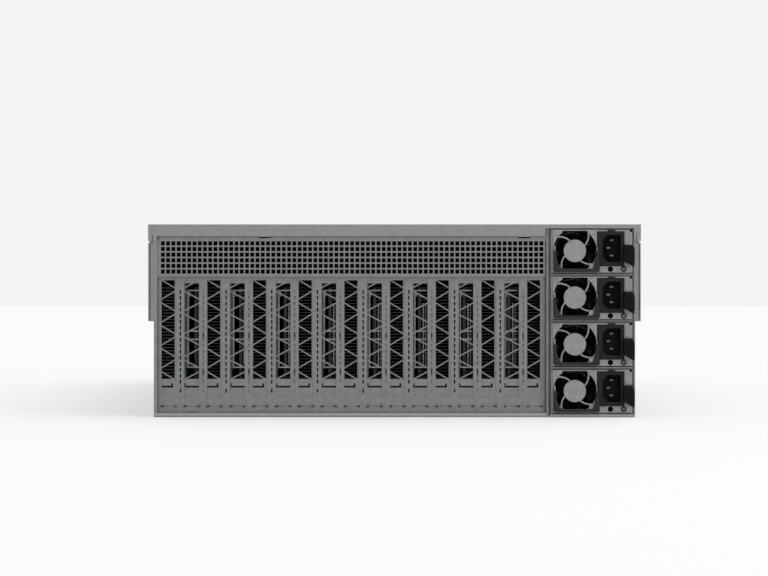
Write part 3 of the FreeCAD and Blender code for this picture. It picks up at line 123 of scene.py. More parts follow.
def plated_steel(name, dark, light, roughness=0.42, rolled=(1, 0.06, 1)):
    """Zinc-plated sheet: crystal mottle in the colour, rolling grain in the gloss and relief."""
    made = finish(name, light, ZINC_METALLIC, roughness)
    crystals = pattern(made, "ShaderNodeTexVoronoi", CRYSTALS)
    crystals.feature = "SMOOTH_F1"
    tint(made, crystals.outputs["Distance"], light, dark)
    lines = pattern(made, "ShaderNodeTexNoise", ROLL_LINES, rolled, Detail=4)
    polish(made, lines.outputs["Fac"], roughness - 0.07, roughness + 0.08)
    emboss(made, lines.outputs["Fac"], ROLL_DEPTH)
    return made


def dress(material, *names):
    """Gives CAD nodes their finish."""
    for name in names:
        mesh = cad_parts[name].data
        mesh.materials.clear()
        mesh.materials.append(material)


JOIN_GAP = 0.000002
SHARP_ANGLE = radians(50)


def soften(radius, *names):
    """Breaks the sharp edges of CAD nodes, radius in millimetres, as tumbling or bending leaves them."""
    for name in names:
        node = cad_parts[name]
        joined = node.modifiers.new("joined", "WELD")
        joined.merge_threshold = JOIN_GAP
        broken = node.modifiers.new("broken_edges", "BEVEL")
        broken.width = radius * MM
        broken.segments = 2
        broken.limit_method = "ANGLE"
        broken.angle_limit = SHARP_ANGLE


def settle(name, shape, material, body):
    """Gives a finished piece its material and fixes it to the body that carries it."""
    mesh = bpy.data.meshes.new(name)
    shape.to_mesh(mesh)
    shape.free()
    mesh.materials.append(material)
    made = bpy.data.objects.new(name, mesh)
    bpy.context.scene.collection.objects.link(made)
    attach(made, body)
    return made


SPIN_TO = {
    "x": Matrix.Rotation(pi / 2, 4, "Y"), "-x": Matrix.Rotation(-pi / 2, 4, "Y"),
    "y": Matrix.Rotation(-pi / 2, 4, "X"), "-y": Matrix.Rotation(pi / 2, 4, "X"),
    "z": Matrix.Identity(4),
}


def edges_of(made):
    """The edges at the corners of a shape just made, each once."""
    return list(dict.fromkeys(e for v in made["verts"] for e in v.link_edges))


def round_off(shape, edges, radius, steps):
    """Rounds some edges, radius in millimetres."""
    bmesh.ops.bevel(
        shape, geom=edges, offset=radius * MM, segments=steps, profile=0.5, affect="EDGES", material=-1,
    )


DOME = 0.7


def round_head(shape, foot, axis, dia, height, sides=16):
    """A low domed head, in millimetres, standing on its foot and pointing along an axis."""
    there = Matrix.Translation(Vector(foot) * MM) @ SPIN_TO[axis]
    up = Matrix.Translation((0, 0, height / 2 * MM))
    made = bmesh.ops.create_cone(
        shape, cap_ends=True, segments=sides, radius1=dia / 2 * MM, radius2=dia / 2 * MM,
        depth=height * MM, matrix=there @ up,
    )
    level = there.inverted()
    crown = [v for v in made["verts"] if (level @ v.co).z > height / 2 * MM]
    rim = [e for e in edges_of(made) if all(v in crown for v in e.verts)]
    round_off(shape, rim, height * DOME, 2)


def block(shape, low, high, rounding=0.0, steps=2):
    """A rectangular solid between two corners, in millimetres, with rounded edges."""
    middle = [(a + b) / 2 * MM for a, b in zip(low, high)]
    size = [(b - a) * MM for a, b in zip(low, high)]
    there = Matrix.Translation(middle) @ Matrix.Diagonal((*size, 1))
    made = bmesh.ops.create_cube(shape, size=1, matrix=there)
    if rounding:
        round_off(shape, edges_of(made), rounding, steps)


LOW_X = 213.5
TOP_X = 218.5
REAR_Y = -368.5
RIVET_DIA = 4.8
RIVET_HEAD = 1.0
RIVET_FOOT = 10.0
RIVET_PITCH = 90.0
RIVET_START = 50.0
RIVETS = 8
shell_steel = plated_steel("shell_steel", tone(114, 116, 117), tone(130, 132, 133))
dress(shell_steel, "base_pan", "left_side_wall", "right_side_wall")
soften(0.25, "base_pan", "left_side_wall", "right_side_wall")
bright_zinc = plated_steel("bright_zinc", tone(150, 151, 152), tone(182, 183, 184), 0.3, (1, 1, 1))
shape = bmesh.new()
for k in range(RIVETS):
    y = REAR_Y + RIVET_START + k * RIVET_PITCH
    round_head(shape, (-LOW_X, y, RIVET_FOOT), "-x", RIVET_DIA, RIVET_HEAD)
    round_head(shape, (LOW_X, y, RIVET_FOOT), "x", RIVET_DIA, RIVET_HEAD)
settle("wall_rivets", shape, bright_zinc, "chassis")
PAN_STUDS = (-179.6, -8.4, 77.6)
STUD_FOOT, STUD_Z = REAR_Y + 4.8, 5.1
shape = bmesh.new()
for x in PAN_STUDS:
    round_head(shape, (x, STUD_FOOT, STUD_Z), "-y", dia=2.2, height=0.6, sides=10)
settle("pan_studs", shape, shell_steel, "chassis")
PANEL_RIGHT = 134.74
HEM_BACK = REAR_Y + 0.1
CARD_HEM = (-LOW_X + 0.3, REAR_Y - 0.9, 1.0), (PANEL_RIGHT, HEM_BACK, 3.1)
SUPPLY_HEM = (PANEL_RIGHT + 3.0, REAR_Y - 0.6, 0.6), (LOW_X - 0.6, HEM_BACK, 2.2)
# The hem takes a lighter copy of the plated steel: a painted highlight along the rounded bottom fold.
hem_highlight_zinc = plated_steel("hem_highlight_zinc", tone(134, 136, 138), tone(150, 152, 154), 0.34)
shape = bmesh.new()
block(shape, *CARD_HEM, rounding=0.45, steps=3)
block(shape, *SUPPLY_HEM, rounding=0.3, steps=3)
settle("pan_hem", shape, hem_highlight_zinc, "chassis")
CORNER_TABS = (-TOP_X + 1.4, -LOW_X + 1.0), (LOW_X - 1.0, TOP_X - 1.4)
CORNER_FACE, CORNER_BACK = REAR_Y + 0.9, REAR_Y + 2.1
CORNER_FOOT, CORNER_HEAD = 151.5, 157.0
shape = bmesh.new()
for left, right in CORNER_TABS:
    low = (left, CORNER_FACE, CORNER_FOOT)
    high = (right, CORNER_BACK, CORNER_HEAD)
    block(shape, low, high, rounding=0.2, steps=1)
settle("corner_tabs", shape, shell_steel, "chassis")

# Rear panel: one bent sheet with the square-hole vent strip, the ledge and the row of card slots.
# Plated steel, punched; pressed spring fingers close the narrow slot in each strip between two cards.
# Small dark grey discs at the tail slot ends and a dark grey strip up the edge beside the supplies are
# painted shade for the slot ends and the seam.
SLOT_LEFT = -210.7
SLOT_PITCH = 20.32
SLOTS = 17
FINGERS = 15
FINGER_PITCH = 5.33
FINGER_GAP = 3.5
FINGER_BASE, FINGER_LOW = 25.0, 31.3
FINGER_FACE, FINGER_BACK = REAR_Y + 4.85, REAR_Y + 5.95
FINGER_WIDTH = 1.25
PEEP_FINGERS = (1, 7)
panel_steel = plated_steel("panel_steel", tone(108, 110, 111), tone(124, 126, 127), rolled=(0.06, 1, 1))
dress(panel_steel, "rear_panel")
shape = bmesh.new()
for k in range(1, SLOTS):
    x = SLOT_LEFT + k * SLOT_PITCH
    low = (x - FINGER_WIDTH / 2, FINGER_FACE)
    high = (x + FINGER_WIDTH / 2, FINGER_BACK)
    block(shape, (*low, FINGER_BASE), (*high, FINGER_LOW - FINGER_GAP / 2))
    for i in range(FINGERS):
        if k % 2 == 0 and i in PEEP_FINGERS:
            continue
        foot = FINGER_LOW + FINGER_GAP / 2 + i * FINGER_PITCH
        block(shape, (*low, foot), (*high, foot + FINGER_PITCH - FINGER_GAP))
settle("seam_fingers", shape, panel_steel, "chassis")
# Dark grey discs at both ends of each tail slot: painted shade for the dark slot ends.
TAIL_SHADE_Z, TAIL_SHADE_DIA, TAIL_SHADE_HEAD = 9.5, 2.0, 0.25
TAIL_SHADE_FOOT = REAR_Y + 0.05
TAIL_SHADES = (3.9, 16.6)
shape = bmesh.new()
for k in range(SLOTS):
    for offset in TAIL_SHADES:
        x = SLOT_LEFT + k * SLOT_PITCH + offset
        round_head(shape, (x, TAIL_SHADE_FOOT, TAIL_SHADE_Z), "-y", TAIL_SHADE_DIA, TAIL_SHADE_HEAD)
# A thin dark grey strip between the panel and the supply cage: painted shade along the seam.
EDGE_SHADE_LEFT, EDGE_SHADE_RIGHT = 134.0, 134.8
EDGE_SHADE_FACE, EDGE_SHADE_BACK = REAR_Y - 0.15, REAR_Y + 0.2
EDGE_SHADE_FOOT, EDGE_SHADE_HEAD = 4.4, 156.0
# This dark grey is painted shade, not a part's own colour: slot ends, the seam beside the supplies and the
# lid lip.
painted_shade_grey = plated_steel("painted_shade_grey", tone(58, 59, 59), tone(72, 73, 73), 0.7, (1, 1, 1))
settle("tail_slot_shades", shape, painted_shade_grey, "chassis")
shape = bmesh.new()
low = (EDGE_SHADE_LEFT, EDGE_SHADE_FACE, EDGE_SHADE_FOOT)
high = (EDGE_SHADE_RIGHT, EDGE_SHADE_BACK, EDGE_SHADE_HEAD)
block(shape, low, high, rounding=0.1, steps=1)
settle("edge_shade_strip", shape, painted_shade_grey, "chassis")

# Card brackets: eight double-width plates and one single, each with a row of truss-braced vents.
# Stamped plated sheet with the grain upright, hooked in the pan and screwed on the ledge at the top.
bracket_steel = plated_steel("bracket_steel", tone(110, 112, 112), tone(124, 126, 126), 0.36, (1, 1, 0.06))


def loop(shape, points, y):
    """A closed line of edges through points given across and up, in millimetres."""
    corners = [bmesh.ops.create_vert(shape, co=(x * MM, y * MM, z * MM))["vert"][0] for x, z in points]
    pairs = zip(corners, corners[1:] + corners[:1])
    return [bmesh.ops.contextual_create(shape, geom=pair)["edges"][0] for pair in pairs]


FOLD = 1.0


def stamped(shape, outlines, front, back, rounding=0.15):
    """A flat piece stamped to an outline, with the further outlines as holes; its sharp edges are broken."""
    edges = [e for points in outlines for e in loop(shape, points, front)]
    flat = bmesh.ops.triangle_fill(shape, use_beauty=True, edges=edges)["geom"]
    flat = [g for g in flat if isinstance(g, bmesh.types.BMFace)]
    raised = bmesh.ops.extrude_face_region(shape, geom=flat)["geom"]
    corners = [g for g in raised if isinstance(g, bmesh.types.BMVert)]
    bmesh.ops.translate(shape, vec=(0, (back - front) * MM, 0), verts=corners)
    bmesh.ops.recalc_face_normals(shape, faces=shape.faces)
    around = dict.fromkeys(e for f in flat for e in f.edges if e.is_valid)
    sharp = [e for e in around if len(e.link_faces) == 2 and e.calc_face_angle() > FOLD]
    round_off(shape, sharp, rounding, 1)


def square_outline(low, high):
    """The corners between two opposite ones."""
    return [low, (high[0], low[1]), high, (low[0], high[1])]


def faces_of(made):
    """The faces at the corners of a shape just made, each once."""
    return list(dict.fromkeys(f for v in made["verts"] for f in v.link_faces))


SCREW_TAPER, SCREW_RIM, RECESS_TAPER, RECESS_DEPTH = 0.8, 0.2, 0.06, 0.5
AT_CROWN = 0.00005


def pan_screw(shape, foot, axis, dia, height):
    """A pan-head screw with a sunk recess; sixteen sides so that it stays light."""
    there = Matrix.Translation(Vector(foot) * MM) @ SPIN_TO[axis]
    made = bmesh.ops.create_cone(
        shape, cap_ends=True, segments=16, radius1=dia / 2 * MM, radius2=dia / 2 * MM * SCREW_TAPER,
        depth=height * MM, matrix=there @ Matrix.Translation((0, 0, height / 2 * MM)),
    )
    crown = there @ Vector((0, 0, height * MM))
    top = [f for f in faces_of(made) if (f.calc_center_median() - crown).length < AT_CROWN]
    bmesh.ops.inset_individual(shape, faces=top, thickness=dia * SCREW_RIM * MM, depth=0)
    sunk = -height * RECESS_DEPTH * MM
    bmesh.ops.inset_individual(shape, faces=top, thickness=dia * RECESS_TAPER * MM, depth=sunk)


LEDGE_Z = 124.5
BRACKET_FACE = REAR_Y + 6.0
BRACKET_SHEET = 0.9
BRACKET_BACK = BRACKET_FACE + BRACKET_SHEET
BRACKET_HALF = 19.62
TAB_BACK = BRACKET_BACK + 10.0
TAIL_FOOT, TAIL_HEAD, TAIL_HALF = 5.5, 12.0, 4.8
TRUSS_TOP, TRUSS_STEP, STRUTS = 123.4, 10.2, 9
STRUT_HALF, STRUT_REST = 0.68, 1.6
VENT_NEAR, VENT_FOOT = 3.4, 33.7
TONGUE_CUT, TONGUE_GAP, TONGUE_RISE = 26.0, 1.5, 2.2
PEEP_HALF, PEEPS = 1.4, ((38.1, 42.3), (70.3, 74.5))


def vents(side, reach, head, cut):
    """The vents of one window between its struts, and the cut of the spring tongue under it."""
    near, far = side * VENT_NEAR, side * reach
    struts = []
    for j in range(STRUTS):
        high = TRUSS_TOP - j * TRUSS_STEP - STRUT_REST
        low = TRUSS_TOP - (j + 1) * TRUSS_STEP + STRUT_REST
        struts.append((low, high) if j % 2 else (high, low))

    def across(strut, shift, level):
        """How far across a strut's edge stands at a level."""
        return near + (far - near) * (strut[0] + shift - level) / (strut[0] - strut[1])

    first, last = struts[0], struts[-1]
    made = [
        [(across(first, STRUT_HALF, head), head), (far, head), (far, first[1] + STRUT_HALF)],
        [(near, last[0] - STRUT_HALF), (across(last, -STRUT_HALF, VENT_FOOT), VENT_FOOT), (near, VENT_FOOT)],
    ]
    for above, below in zip(struts, struts[1:]):
        corner = [(near, above[0] - STRUT_HALF)]
        if corner[0][1] > head:
            corner = [(near, head), (across(above, -STRUT_HALF, head), head)]
        made.append(corner + [
            (far, above[1] - STRUT_HALF), (far, below[1] + STRUT_HALF), (near, below[0] + STRUT_HALF),
        ])
    end = side * cut
    bend = TONGUE_CUT + TONGUE_GAP
    tip = TONGUE_CUT + TONGUE_GAP + TONGUE_RISE
    inner = end - side * TONGUE_GAP
    made.append([
        (near, TONGUE_CUT), (end, TONGUE_CUT), (end, tip), (inner, tip), (inner, bend), (near, bend),
    ])
    return made


def bracket(name, middle, left, windows):
    """A stamped bracket with a hooked tail and a window on each side named, and the tab at its top."""
    edge, holes = [(left, LEDGE_Z), (left, TAIL_HEAD)], []
    for side, *window in windows:
        near = side * SLOT_PITCH / 2 - TAIL_HALF
        far = side * SLOT_PITCH / 2 + TAIL_HALF
        edge += [(near, TAIL_HEAD), (near, TAIL_FOOT), (far, TAIL_FOOT), (far, TAIL_HEAD)]
        holes += vents(side, *window)
    edge += [(BRACKET_HALF, TAIL_HEAD), (BRACKET_HALF, LEDGE_Z)]
    if left < 0:
        holes += [square_outline((-PEEP_HALF, low), (PEEP_HALF, high)) for low, high in PEEPS]
    shape = bmesh.new()
    stamped(shape, [edge] + holes, BRACKET_FACE, BRACKET_BACK, rounding=0.08)
    low = (left, BRACKET_BACK, LEDGE_Z - BRACKET_SHEET)
    block(shape, low, (BRACKET_HALF, TAB_BACK, LEDGE_Z), rounding=0.2)
    bmesh.ops.translate(shape, vec=(middle * MM, 0, 0), verts=shape.verts)
    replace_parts(settle(f"{name}_plate", shape, bracket_steel, "chassis"), name)


# A window's side, reach, head and tongue cut.
FAN_WINDOW = (1, 15.1, 121.5, 13.5)
BOARD_WINDOW = (-1, 16.8, 118.7, 16.8)
SLIM_LEFT = 0.7
CARDS = 8
for k in range(1, CARDS + 1):
    middle = SLOT_LEFT + 2 * k * SLOT_PITCH
    bracket(f"card_bracket_{k}", middle, -BRACKET_HALF, (BOARD_WINDOW, FAN_WINDOW))
bracket("slim_bracket", SLOT_LEFT, SLIM_LEFT, (FAN_WINDOW,))

FLANGE_Y = REAR_Y + 11.5
shape = bmesh.new()
for k in range(SLOTS):
    x = SLOT_LEFT + (k + 0.5) * SLOT_PITCH
    pan_screw(shape, (x, FLANGE_Y, LEDGE_Z), "z", dia=6.0, height=1.9)
settle("bracket_screws", shape, bright_zinc, "chassis")

# Accelerator cards: a green board on each bracket, a pale end frame, dark fins and a black shroud.
# Glass-fibre boards with etched tracks, blackened aluminium fins, shrouds moulded in black and screwed on.
# A black sheet behind the bracket feet is painted shade, dark in the foot slots.
CARD_MIDDLES = [SLOT_LEFT + (2 * k + 2) * SLOT_PITCH for k in range(CARDS)]
BOARD_TOP = 118.2
CARD_END = -94.6
TRACKS, TRACK_DEPTH, LACQUER_PATCHES = 260, 0.00004, 40


def circuit_board(name, dark, light):
    """Solder mask over copper: blocky tracks in the tint and the relief, a glossy lacquer."""
    made = finish(name, light, 0.0, 0.32)
    tracks = pattern(made, "ShaderNodeTexVoronoi", TRACKS, Randomness=0.85)
    tracks.distance = "CHEBYCHEV"
    tint(made, tracks.outputs["Distance"], dark, light)
    patches = pattern(made, "ShaderNodeTexNoise", LACQUER_PATCHES, Detail=3)
    polish(made, patches.outputs["Fac"], 0.25, 0.42)
    emboss(made, tracks.outputs["Distance"], TRACK_DEPTH)
    return made


DRAW_LINES, DRAW_DEPTH = 700, 0.00002


def blackened_metal(name, dark, light, roughness=0.38, drawn=(1, 0.05, 1)):
    """Dyed or painted metal: long drawing lines in the gloss and a little wear in the tint."""
    made = finish(name, light, 0.5, roughness)
    lines = pattern(made, "ShaderNodeTexNoise", DRAW_LINES, drawn, Detail=3)
    tint(made, lines.outputs["Fac"], dark, light)
    polish(made, lines.outputs["Fac"], roughness - 0.06, roughness + 0.1)
    emboss(made, lines.outputs["Fac"], DRAW_DEPTH)
    return made


HANDLING_PATCHES = 55


def moulded_plastic(name, dark, light, roughness=0.5, grain=1400, depth=0.00003, sheen=0.25):
    """Spark-eroded mould skin: fine pebbles in the relief, patches of handling in the gloss."""
    made = finish(name, light, 0.0, roughness)
    made.node_tree.nodes["Principled BSDF"].inputs["Specular IOR Level"].default_value = sheen
    patches = pattern(made, "ShaderNodeTexNoise", HANDLING_PATCHES, Detail=4)
    tint(made, patches.outputs["Fac"], dark, light)
    polish(made, patches.outputs["Fac"], roughness - 0.08, roughness + 0.1)
    emboss(made, pattern(made, "ShaderNodeTexNoise", grain, Detail=2).outputs["Fac"], depth)
    return made


card_green = circuit_board("card_green", tone(9, 25, 14), tone(24, 58, 32))
dress(card_green, "card_boards")
frame_steel = plated_steel("frame_steel", tone(132, 133, 132), tone(158, 159, 158), 0.4, (1, 1, 0.06))
dress(frame_steel, "card_end_frames")
dark_fins = blackened_metal("dark_fins", tone(58, 58, 59), tone(84, 85, 86))
slim_fins = blackened_metal("slim_fins", tone(38, 38, 39), tone(58, 59, 60))
dress(dark_fins, "card_heatsinks")
shroud_black = moulded_plastic("shroud_black", tone(19, 19, 20), tone(27, 27, 28), 0.55)
dress(shroud_black, "card_shrouds")
soften(0.3, "card_shrouds")
# A black sheet behind the bracket feet: painted shade seen through the foot slots.
FOOT_SHADE_SHEET = (-209.8, BRACKET_BACK + 6.0, 25.0), (133.5, BRACKET_BACK + 6.4, 31.0)
shape = bmesh.new()
block(shape, *FOOT_SHADE_SHEET, rounding=0.1, steps=1)
settle("foot_shade_sheet", shape, shroud_black, "chassis")
PEG_FACE, PEG_BACK, PEG_FOOT, PEG_HEAD = -346.6, -345.4, 106.8, 111.8
RIB_FACE, RIB_BACK, RIB_FOOT, RIB_HEAD = -322.0, -320.8, 44.0, 101.0
PEG_SPAN, WIDE_RIB, THIN_RIB = (14.1, 12.9), (7.6, 6.0), (5.0, 4.2)
shape = bmesh.new()
for x in CARD_MIDDLES:
    low = (x - PEG_SPAN[0], PEG_FACE, PEG_FOOT)
    high = (x - PEG_SPAN[1], PEG_BACK, PEG_HEAD)
    block(shape, low, high, rounding=0.2, steps=1)
    for (left, right), rounding in ((WIDE_RIB, 0.3), (THIN_RIB, 0.2)):
        low = (x - left, RIB_FACE, RIB_FOOT)
        high = (x - right, RIB_BACK, RIB_HEAD)
        block(shape, low, high, rounding, steps=1)
settle("card_stiffeners", shape, frame_steel, "chassis")
FIN_LOW, FIN_PITCH, FIN_COUNT, FIN_SHEET = 24.7, 2.8, 33, 0.7
FIN_LEFT, FIN_RIGHT, FIN_FACE, FIN_BACK = -207.4, -192.6, -357.0, -319.8
shape = bmesh.new()
for i in range(FIN_COUNT):
    z = FIN_LOW + i * FIN_PITCH
    block(shape, (FIN_LEFT, FIN_FACE, z), (FIN_RIGHT, FIN_BACK, z + FIN_SHEET))
settle("slim_card_fins", shape, slim_fins, "chassis")
STITCH_LOW, STITCH_PITCH, STITCH_COUNT = 31.0, 5.33, 15
STITCH_HALF, STITCH_LENGTH = 0.45, 2.4
STITCH_FACE, STITCH_BACK = -362.6, -362.3
shape = bmesh.new()
for x in CARD_MIDDLES:
    for i in range(STITCH_COUNT):
        z = STITCH_LOW + i * STITCH_PITCH
        low = (x - STITCH_HALF, STITCH_FACE, z)
        high = (x + STITCH_HALF, STITCH_BACK, z + STITCH_LENGTH)
        block(shape, low, high, rounding=0.1, steps=1)
# The stitches take a darker copy of the bracket steel: painted shade seen through the gaps between the seam
# fingers.
stitch_shade_steel = plated_steel("stitch_shade_steel", tone(84, 86, 86), tone(98, 100, 100), 0.45, (1, 1, 0.06))
settle("bracket_stitches", shape, stitch_shade_steel, "chassis")
SHROUD_SCREW_SIDE = 4.0
SHROUD_SCREW_YS = (-312.0, -260.0, -165.0, -113.0)
shape = bmesh.new()
for x in CARD_MIDDLES:
    for y in SHROUD_SCREW_YS:
        pan_screw(shape, (x + SHROUD_SCREW_SIDE, y, BOARD_TOP), "z", dia=4.6, height=1.3)
settle("shroud_screws", shape, dark_fins, "chassis")
CONNECTOR_LENGTH, CONNECTOR_START = 18.6, CARD_END - 24
POLES, POLE_ROWS = 4, 2
POLE_LEFT, POLE_ROW, POLE_WIDTH, POLE_LENGTH = 19.6, 4.0, 3.6, 4.2
POLE_HEAD, COLLAR_HEAD, CLIP_HEAD = BOARD_TOP + 8.5, BOARD_TOP + 3.0, BOARD_TOP + 6.5
COLLAR_LEFT, COLLAR_RIGHT, CLIP_RIGHT = 19.8, 11.8, 10.4
COLLAR_NEAR, COLLAR_FAR = CARD_END - 24.4, CARD_END - 5.2
CLIP_NEAR, CLIP_FAR = CARD_END - 17.0, CARD_END - 12.0
shape = bmesh.new()
for x in CARD_MIDDLES:
    for row in range(POLE_ROWS):
        for pole in range(POLES):
            y = CONNECTOR_START + pole * CONNECTOR_LENGTH / POLES
            left = x - POLE_LEFT + row * POLE_ROW
            high = (left + POLE_WIDTH, y + POLE_LENGTH, POLE_HEAD)
            block(shape, (left, y, BOARD_TOP), high, rounding=0.5, steps=1)
    low = (x - COLLAR_LEFT, COLLAR_NEAR, BOARD_TOP)
    block(shape, low, (x - COLLAR_RIGHT, COLLAR_FAR, COLLAR_HEAD), rounding=0.4, steps=1)
    low = (x - COLLAR_RIGHT, CLIP_NEAR, BOARD_TOP)
    block(shape, low, (x - CLIP_RIGHT, CLIP_FAR, CLIP_HEAD), rounding=0.4, steps=1)
socket_black = moulded_plastic("socket_black", tone(20, 20, 21), tone(30, 30, 31), 0.45)
settle("card_power_sockets", shape, socket_black, "chassis")
chip_black = moulded_plastic("chip_black", tone(16, 16, 17), tone(25, 25, 26), 0.4, 2600, 0.00001)
CARD_BACK = 17.0
CHIP_ROW, CHIP_START, CHIP_PITCH = 9, -332.0, 25.0
CHIP_THICK, CHIP_LENGTH, CHIP_LEVELS = 1.1, 12.0, ((101.0, 112.0), (30.0, 41.0))
shape = bmesh.new()
for x in CARD_MIDDLES:
    back = x - CARD_BACK
    for i in range(CHIP_ROW):
        y = CHIP_START + i * CHIP_PITCH
        for foot, head in CHIP_LEVELS:
            low = (back - CHIP_THICK, y, foot)
            block(shape, low, (back, y + CHIP_LENGTH, head), rounding=0.2, steps=1)
settle("card_memory_chips", shape, chip_black, "chassis")
BRACE_Y, BRACE_Z, BRACE_OUT = -212.6, 69.5, 0.9
BRACE_SHEET, BRACE_LENGTH, BRACE_WIDTH = 1.2, 78.0, 7.0
BRACE_SCREW_OUT, BRACE_SCREW_REACH = 1.4, 34.0
flat_bar = Matrix.Diagonal((BRACE_SHEET * MM, BRACE_LENGTH * MM, BRACE_WIDTH * MM, 1))
shape = bmesh.new()
for x in CARD_MIDDLES:
    back = x - CARD_BACK
    centre = Matrix.Translation(Vector((back - BRACE_OUT, BRACE_Y, BRACE_Z)) * MM)
    for lean in (-1, 1):
        there = centre @ Matrix.Rotation(lean * pi / 4, 4, "X") @ flat_bar
        made = bmesh.ops.create_cube(shape, size=1, matrix=there)
        round_off(shape, edges_of(made), 0.3, 1)
        for end in (-1, 1):
            reach = end * BRACE_SCREW_REACH * cos(pi / 4)
            foot = (back - BRACE_SCREW_OUT, BRACE_Y + reach, BRACE_Z + lean * reach)
            round_head(shape, foot, "-x", dia=5.4, height=1.4, sides=12)
settle("card_back_braces", shape, frame_steel, "chassis")

# Slot board: the green board under the cards, with one black edge connector for each.
# Glass-fibre laminate on stand-offs; connectors moulded in black, soldered through the board.
board_green = circuit_board("board_green", tone(10, 30, 18), tone(20, 48, 30))
dress(board_green, "slot_board", "main_board", "power_backplane")
dress(socket_black, "card_slots")
FLOOR_TOP = 9.6
UPWARDS = 0.9
SHOULDER, CRIMP, SHOULDER_RISE, CRIMP_DROP = 0.06, 0.08, 0.25, -0.3


def can(shape, foot, dia, height):
    """A small upright can capacitor with a crimped shoulder."""
    there = Matrix.Translation(Vector(foot) * MM)
    made = bmesh.ops.create_cone(
        shape, cap_ends=True, segments=14, radius1=dia / 2 * MM, radius2=dia / 2 * MM, depth=height * MM,
        matrix=there @ Matrix.Translation((0, 0, height / 2 * MM)),
    )
    top = [f for f in faces_of(made) if f.normal.z > UPWARDS]
    bmesh.ops.inset_individual(shape, faces=top, thickness=dia * SHOULDER * MM, depth=SHOULDER_RISE * MM)
    bmesh.ops.inset_individual(shape, faces=top, thickness=dia * CRIMP * MM, depth=CRIMP_DROP * MM)


can_silver = plated_steel("can_silver", tone(150, 151, 153), tone(190, 191, 193), 0.28, (1, 1, 1))
SLOT_CANS, SLOT_CAN_SIDE, SLOT_CAN_START, SLOT_CAN_PITCH = 4, 2.0, -205.0, 11.0
shape = bmesh.new()
for x in CARD_MIDDLES:
    for i in range(SLOT_CANS):
        y = SLOT_CAN_START + i * SLOT_CAN_PITCH
        can(shape, (x + SLOT_CAN_SIDE, y, FLOOR_TOP), dia=6.3, height=8.0)
settle("slot_board_cans", shape, can_silver, "chassis")

# Main board: two processors under tall finned coolers, four banks of memory, supply chokes and plugs.
# Green laminate on stand-offs, bright aluminium fins, black sockets, memory modules with black chips.
fin_bright = plated_steel("fin_bright", tone(150, 152, 154), tone(184, 186, 188), 0.34, (1, 0.05, 1))
dress(fin_bright, "cpu_coolers")
module_green = circuit_board("module_green", tone(9, 30, 16), tone(18, 56, 32))
dress(module_green, "memory_modules")
COOLER_Y = 118.1
COOLER_XS = (-80.0, 80.0)
BANK_GAP = 45.5
MODULE_PITCH = 9.5
MODULE_FOOT = FLOOR_TOP + 8.0
BANK_MODULES = 4
module_xs = []
for middle in COOLER_XS:
    for side in (-1, 1):
        module_xs += [middle + side * (BANK_GAP + i * MODULE_PITCH) for i in range(BANK_MODULES)]
MODULE_CHIPS, CHIP_STEP, CHIP_LONG, NOTCH_GAP = 8, 15.2, 9.5, 4.0
FIRST_CHIP = COOLER_Y - 61.0
CHIP_NEAR, CHIP_FAR = 0.7, 1.8
CHIP_FOOT, CHIP_TOP = MODULE_FOOT + 11.0, MODULE_FOOT + 22.0
shape = bmesh.new()
for x in module_xs:
    for i in range(MODULE_CHIPS):
        y = FIRST_CHIP + i * CHIP_STEP + (NOTCH_GAP if i >= MODULE_CHIPS / 2 else 0)
        for face in (-1, 1):
            near, far = sorted((x + face * CHIP_NEAR, x + face * CHIP_FAR))
            block(shape, (near, y, CHIP_FOOT), (far, y + CHIP_LONG, CHIP_TOP))
settle("memory_chips", shape, chip_black, "chassis")
LATCH_NEAR, LATCH_FAR, LATCH_TIP = 66.6, 72.0, 70.0
LATCH_HALF, TIP_HALF = 3.0, 1.6
LATCH_NECK, LATCH_HEAD = MODULE_FOOT + 2.0, MODULE_FOOT + 14.0
shape = bmesh.new()
for x in module_xs:
    for end in (-1, 1):
        near, far = sorted((COOLER_Y + end * LATCH_NEAR, COOLER_Y + end * LATCH_FAR))
        high = (x + LATCH_HALF, far, LATCH_NECK)
        block(shape, (x - LATCH_HALF, near, FLOOR_TOP), high, rounding=0.4, steps=1)
        near, far = sorted((COOLER_Y + end * LATCH_NEAR, COOLER_Y + end * LATCH_TIP))
        high = (x + TIP_HALF, far, LATCH_HEAD)
        block(shape, (x - TIP_HALF, near, LATCH_NECK), high, rounding=0.4, steps=1)
latch_white = moulded_plastic("latch_white", tone(196, 195, 190), tone(212, 211, 206), 0.5)
settle("memory_latches", shape, latch_white, "chassis")
COOLER_SCREW_X, COOLER_SCREW_Y = 33.0, 48.0 * 1.17
LUG_HALF, LUG_FOOT, LUG_HEAD = 4.5, FLOOR_TOP + 6.0, FLOOR_TOP + 9.0
shape = bmesh.new()
for middle in COOLER_XS:
    for dx in (-COOLER_SCREW_X, COOLER_SCREW_X):
        for dy in (-COOLER_SCREW_Y, COOLER_SCREW_Y):
            x, y = middle + dx, COOLER_Y + dy
            low = (x - LUG_HALF, y - LUG_HALF, LUG_FOOT)
            block(shape, low, (x + LUG_HALF, y + LUG_HALF, LUG_HEAD), rounding=0.6)
            pan_screw(shape, (x, y, LUG_HEAD), "z", dia=7.0, height=6.0)
settle("cooler_screws", shape, bright_zinc, "chassis")
CHOKES, CHOKE_START, CHOKE_PITCH, CHOKE_HALF = 7, 33.0, 11.0, 4.2
CHOKE_NEAR, CHOKE_FAR, CHOKE_HEAD = 195.0, 203.4, FLOOR_TOP + 7.0
SINK_HALF, SINK_NEAR, SINK_FAR, SINK_HEAD = 38.0, 205.5, 213.0, FLOOR_TOP + 3.5
choke_grey = blackened_metal("choke_grey", tone(62, 62, 64), tone(84, 84, 86))
shape = bmesh.new()
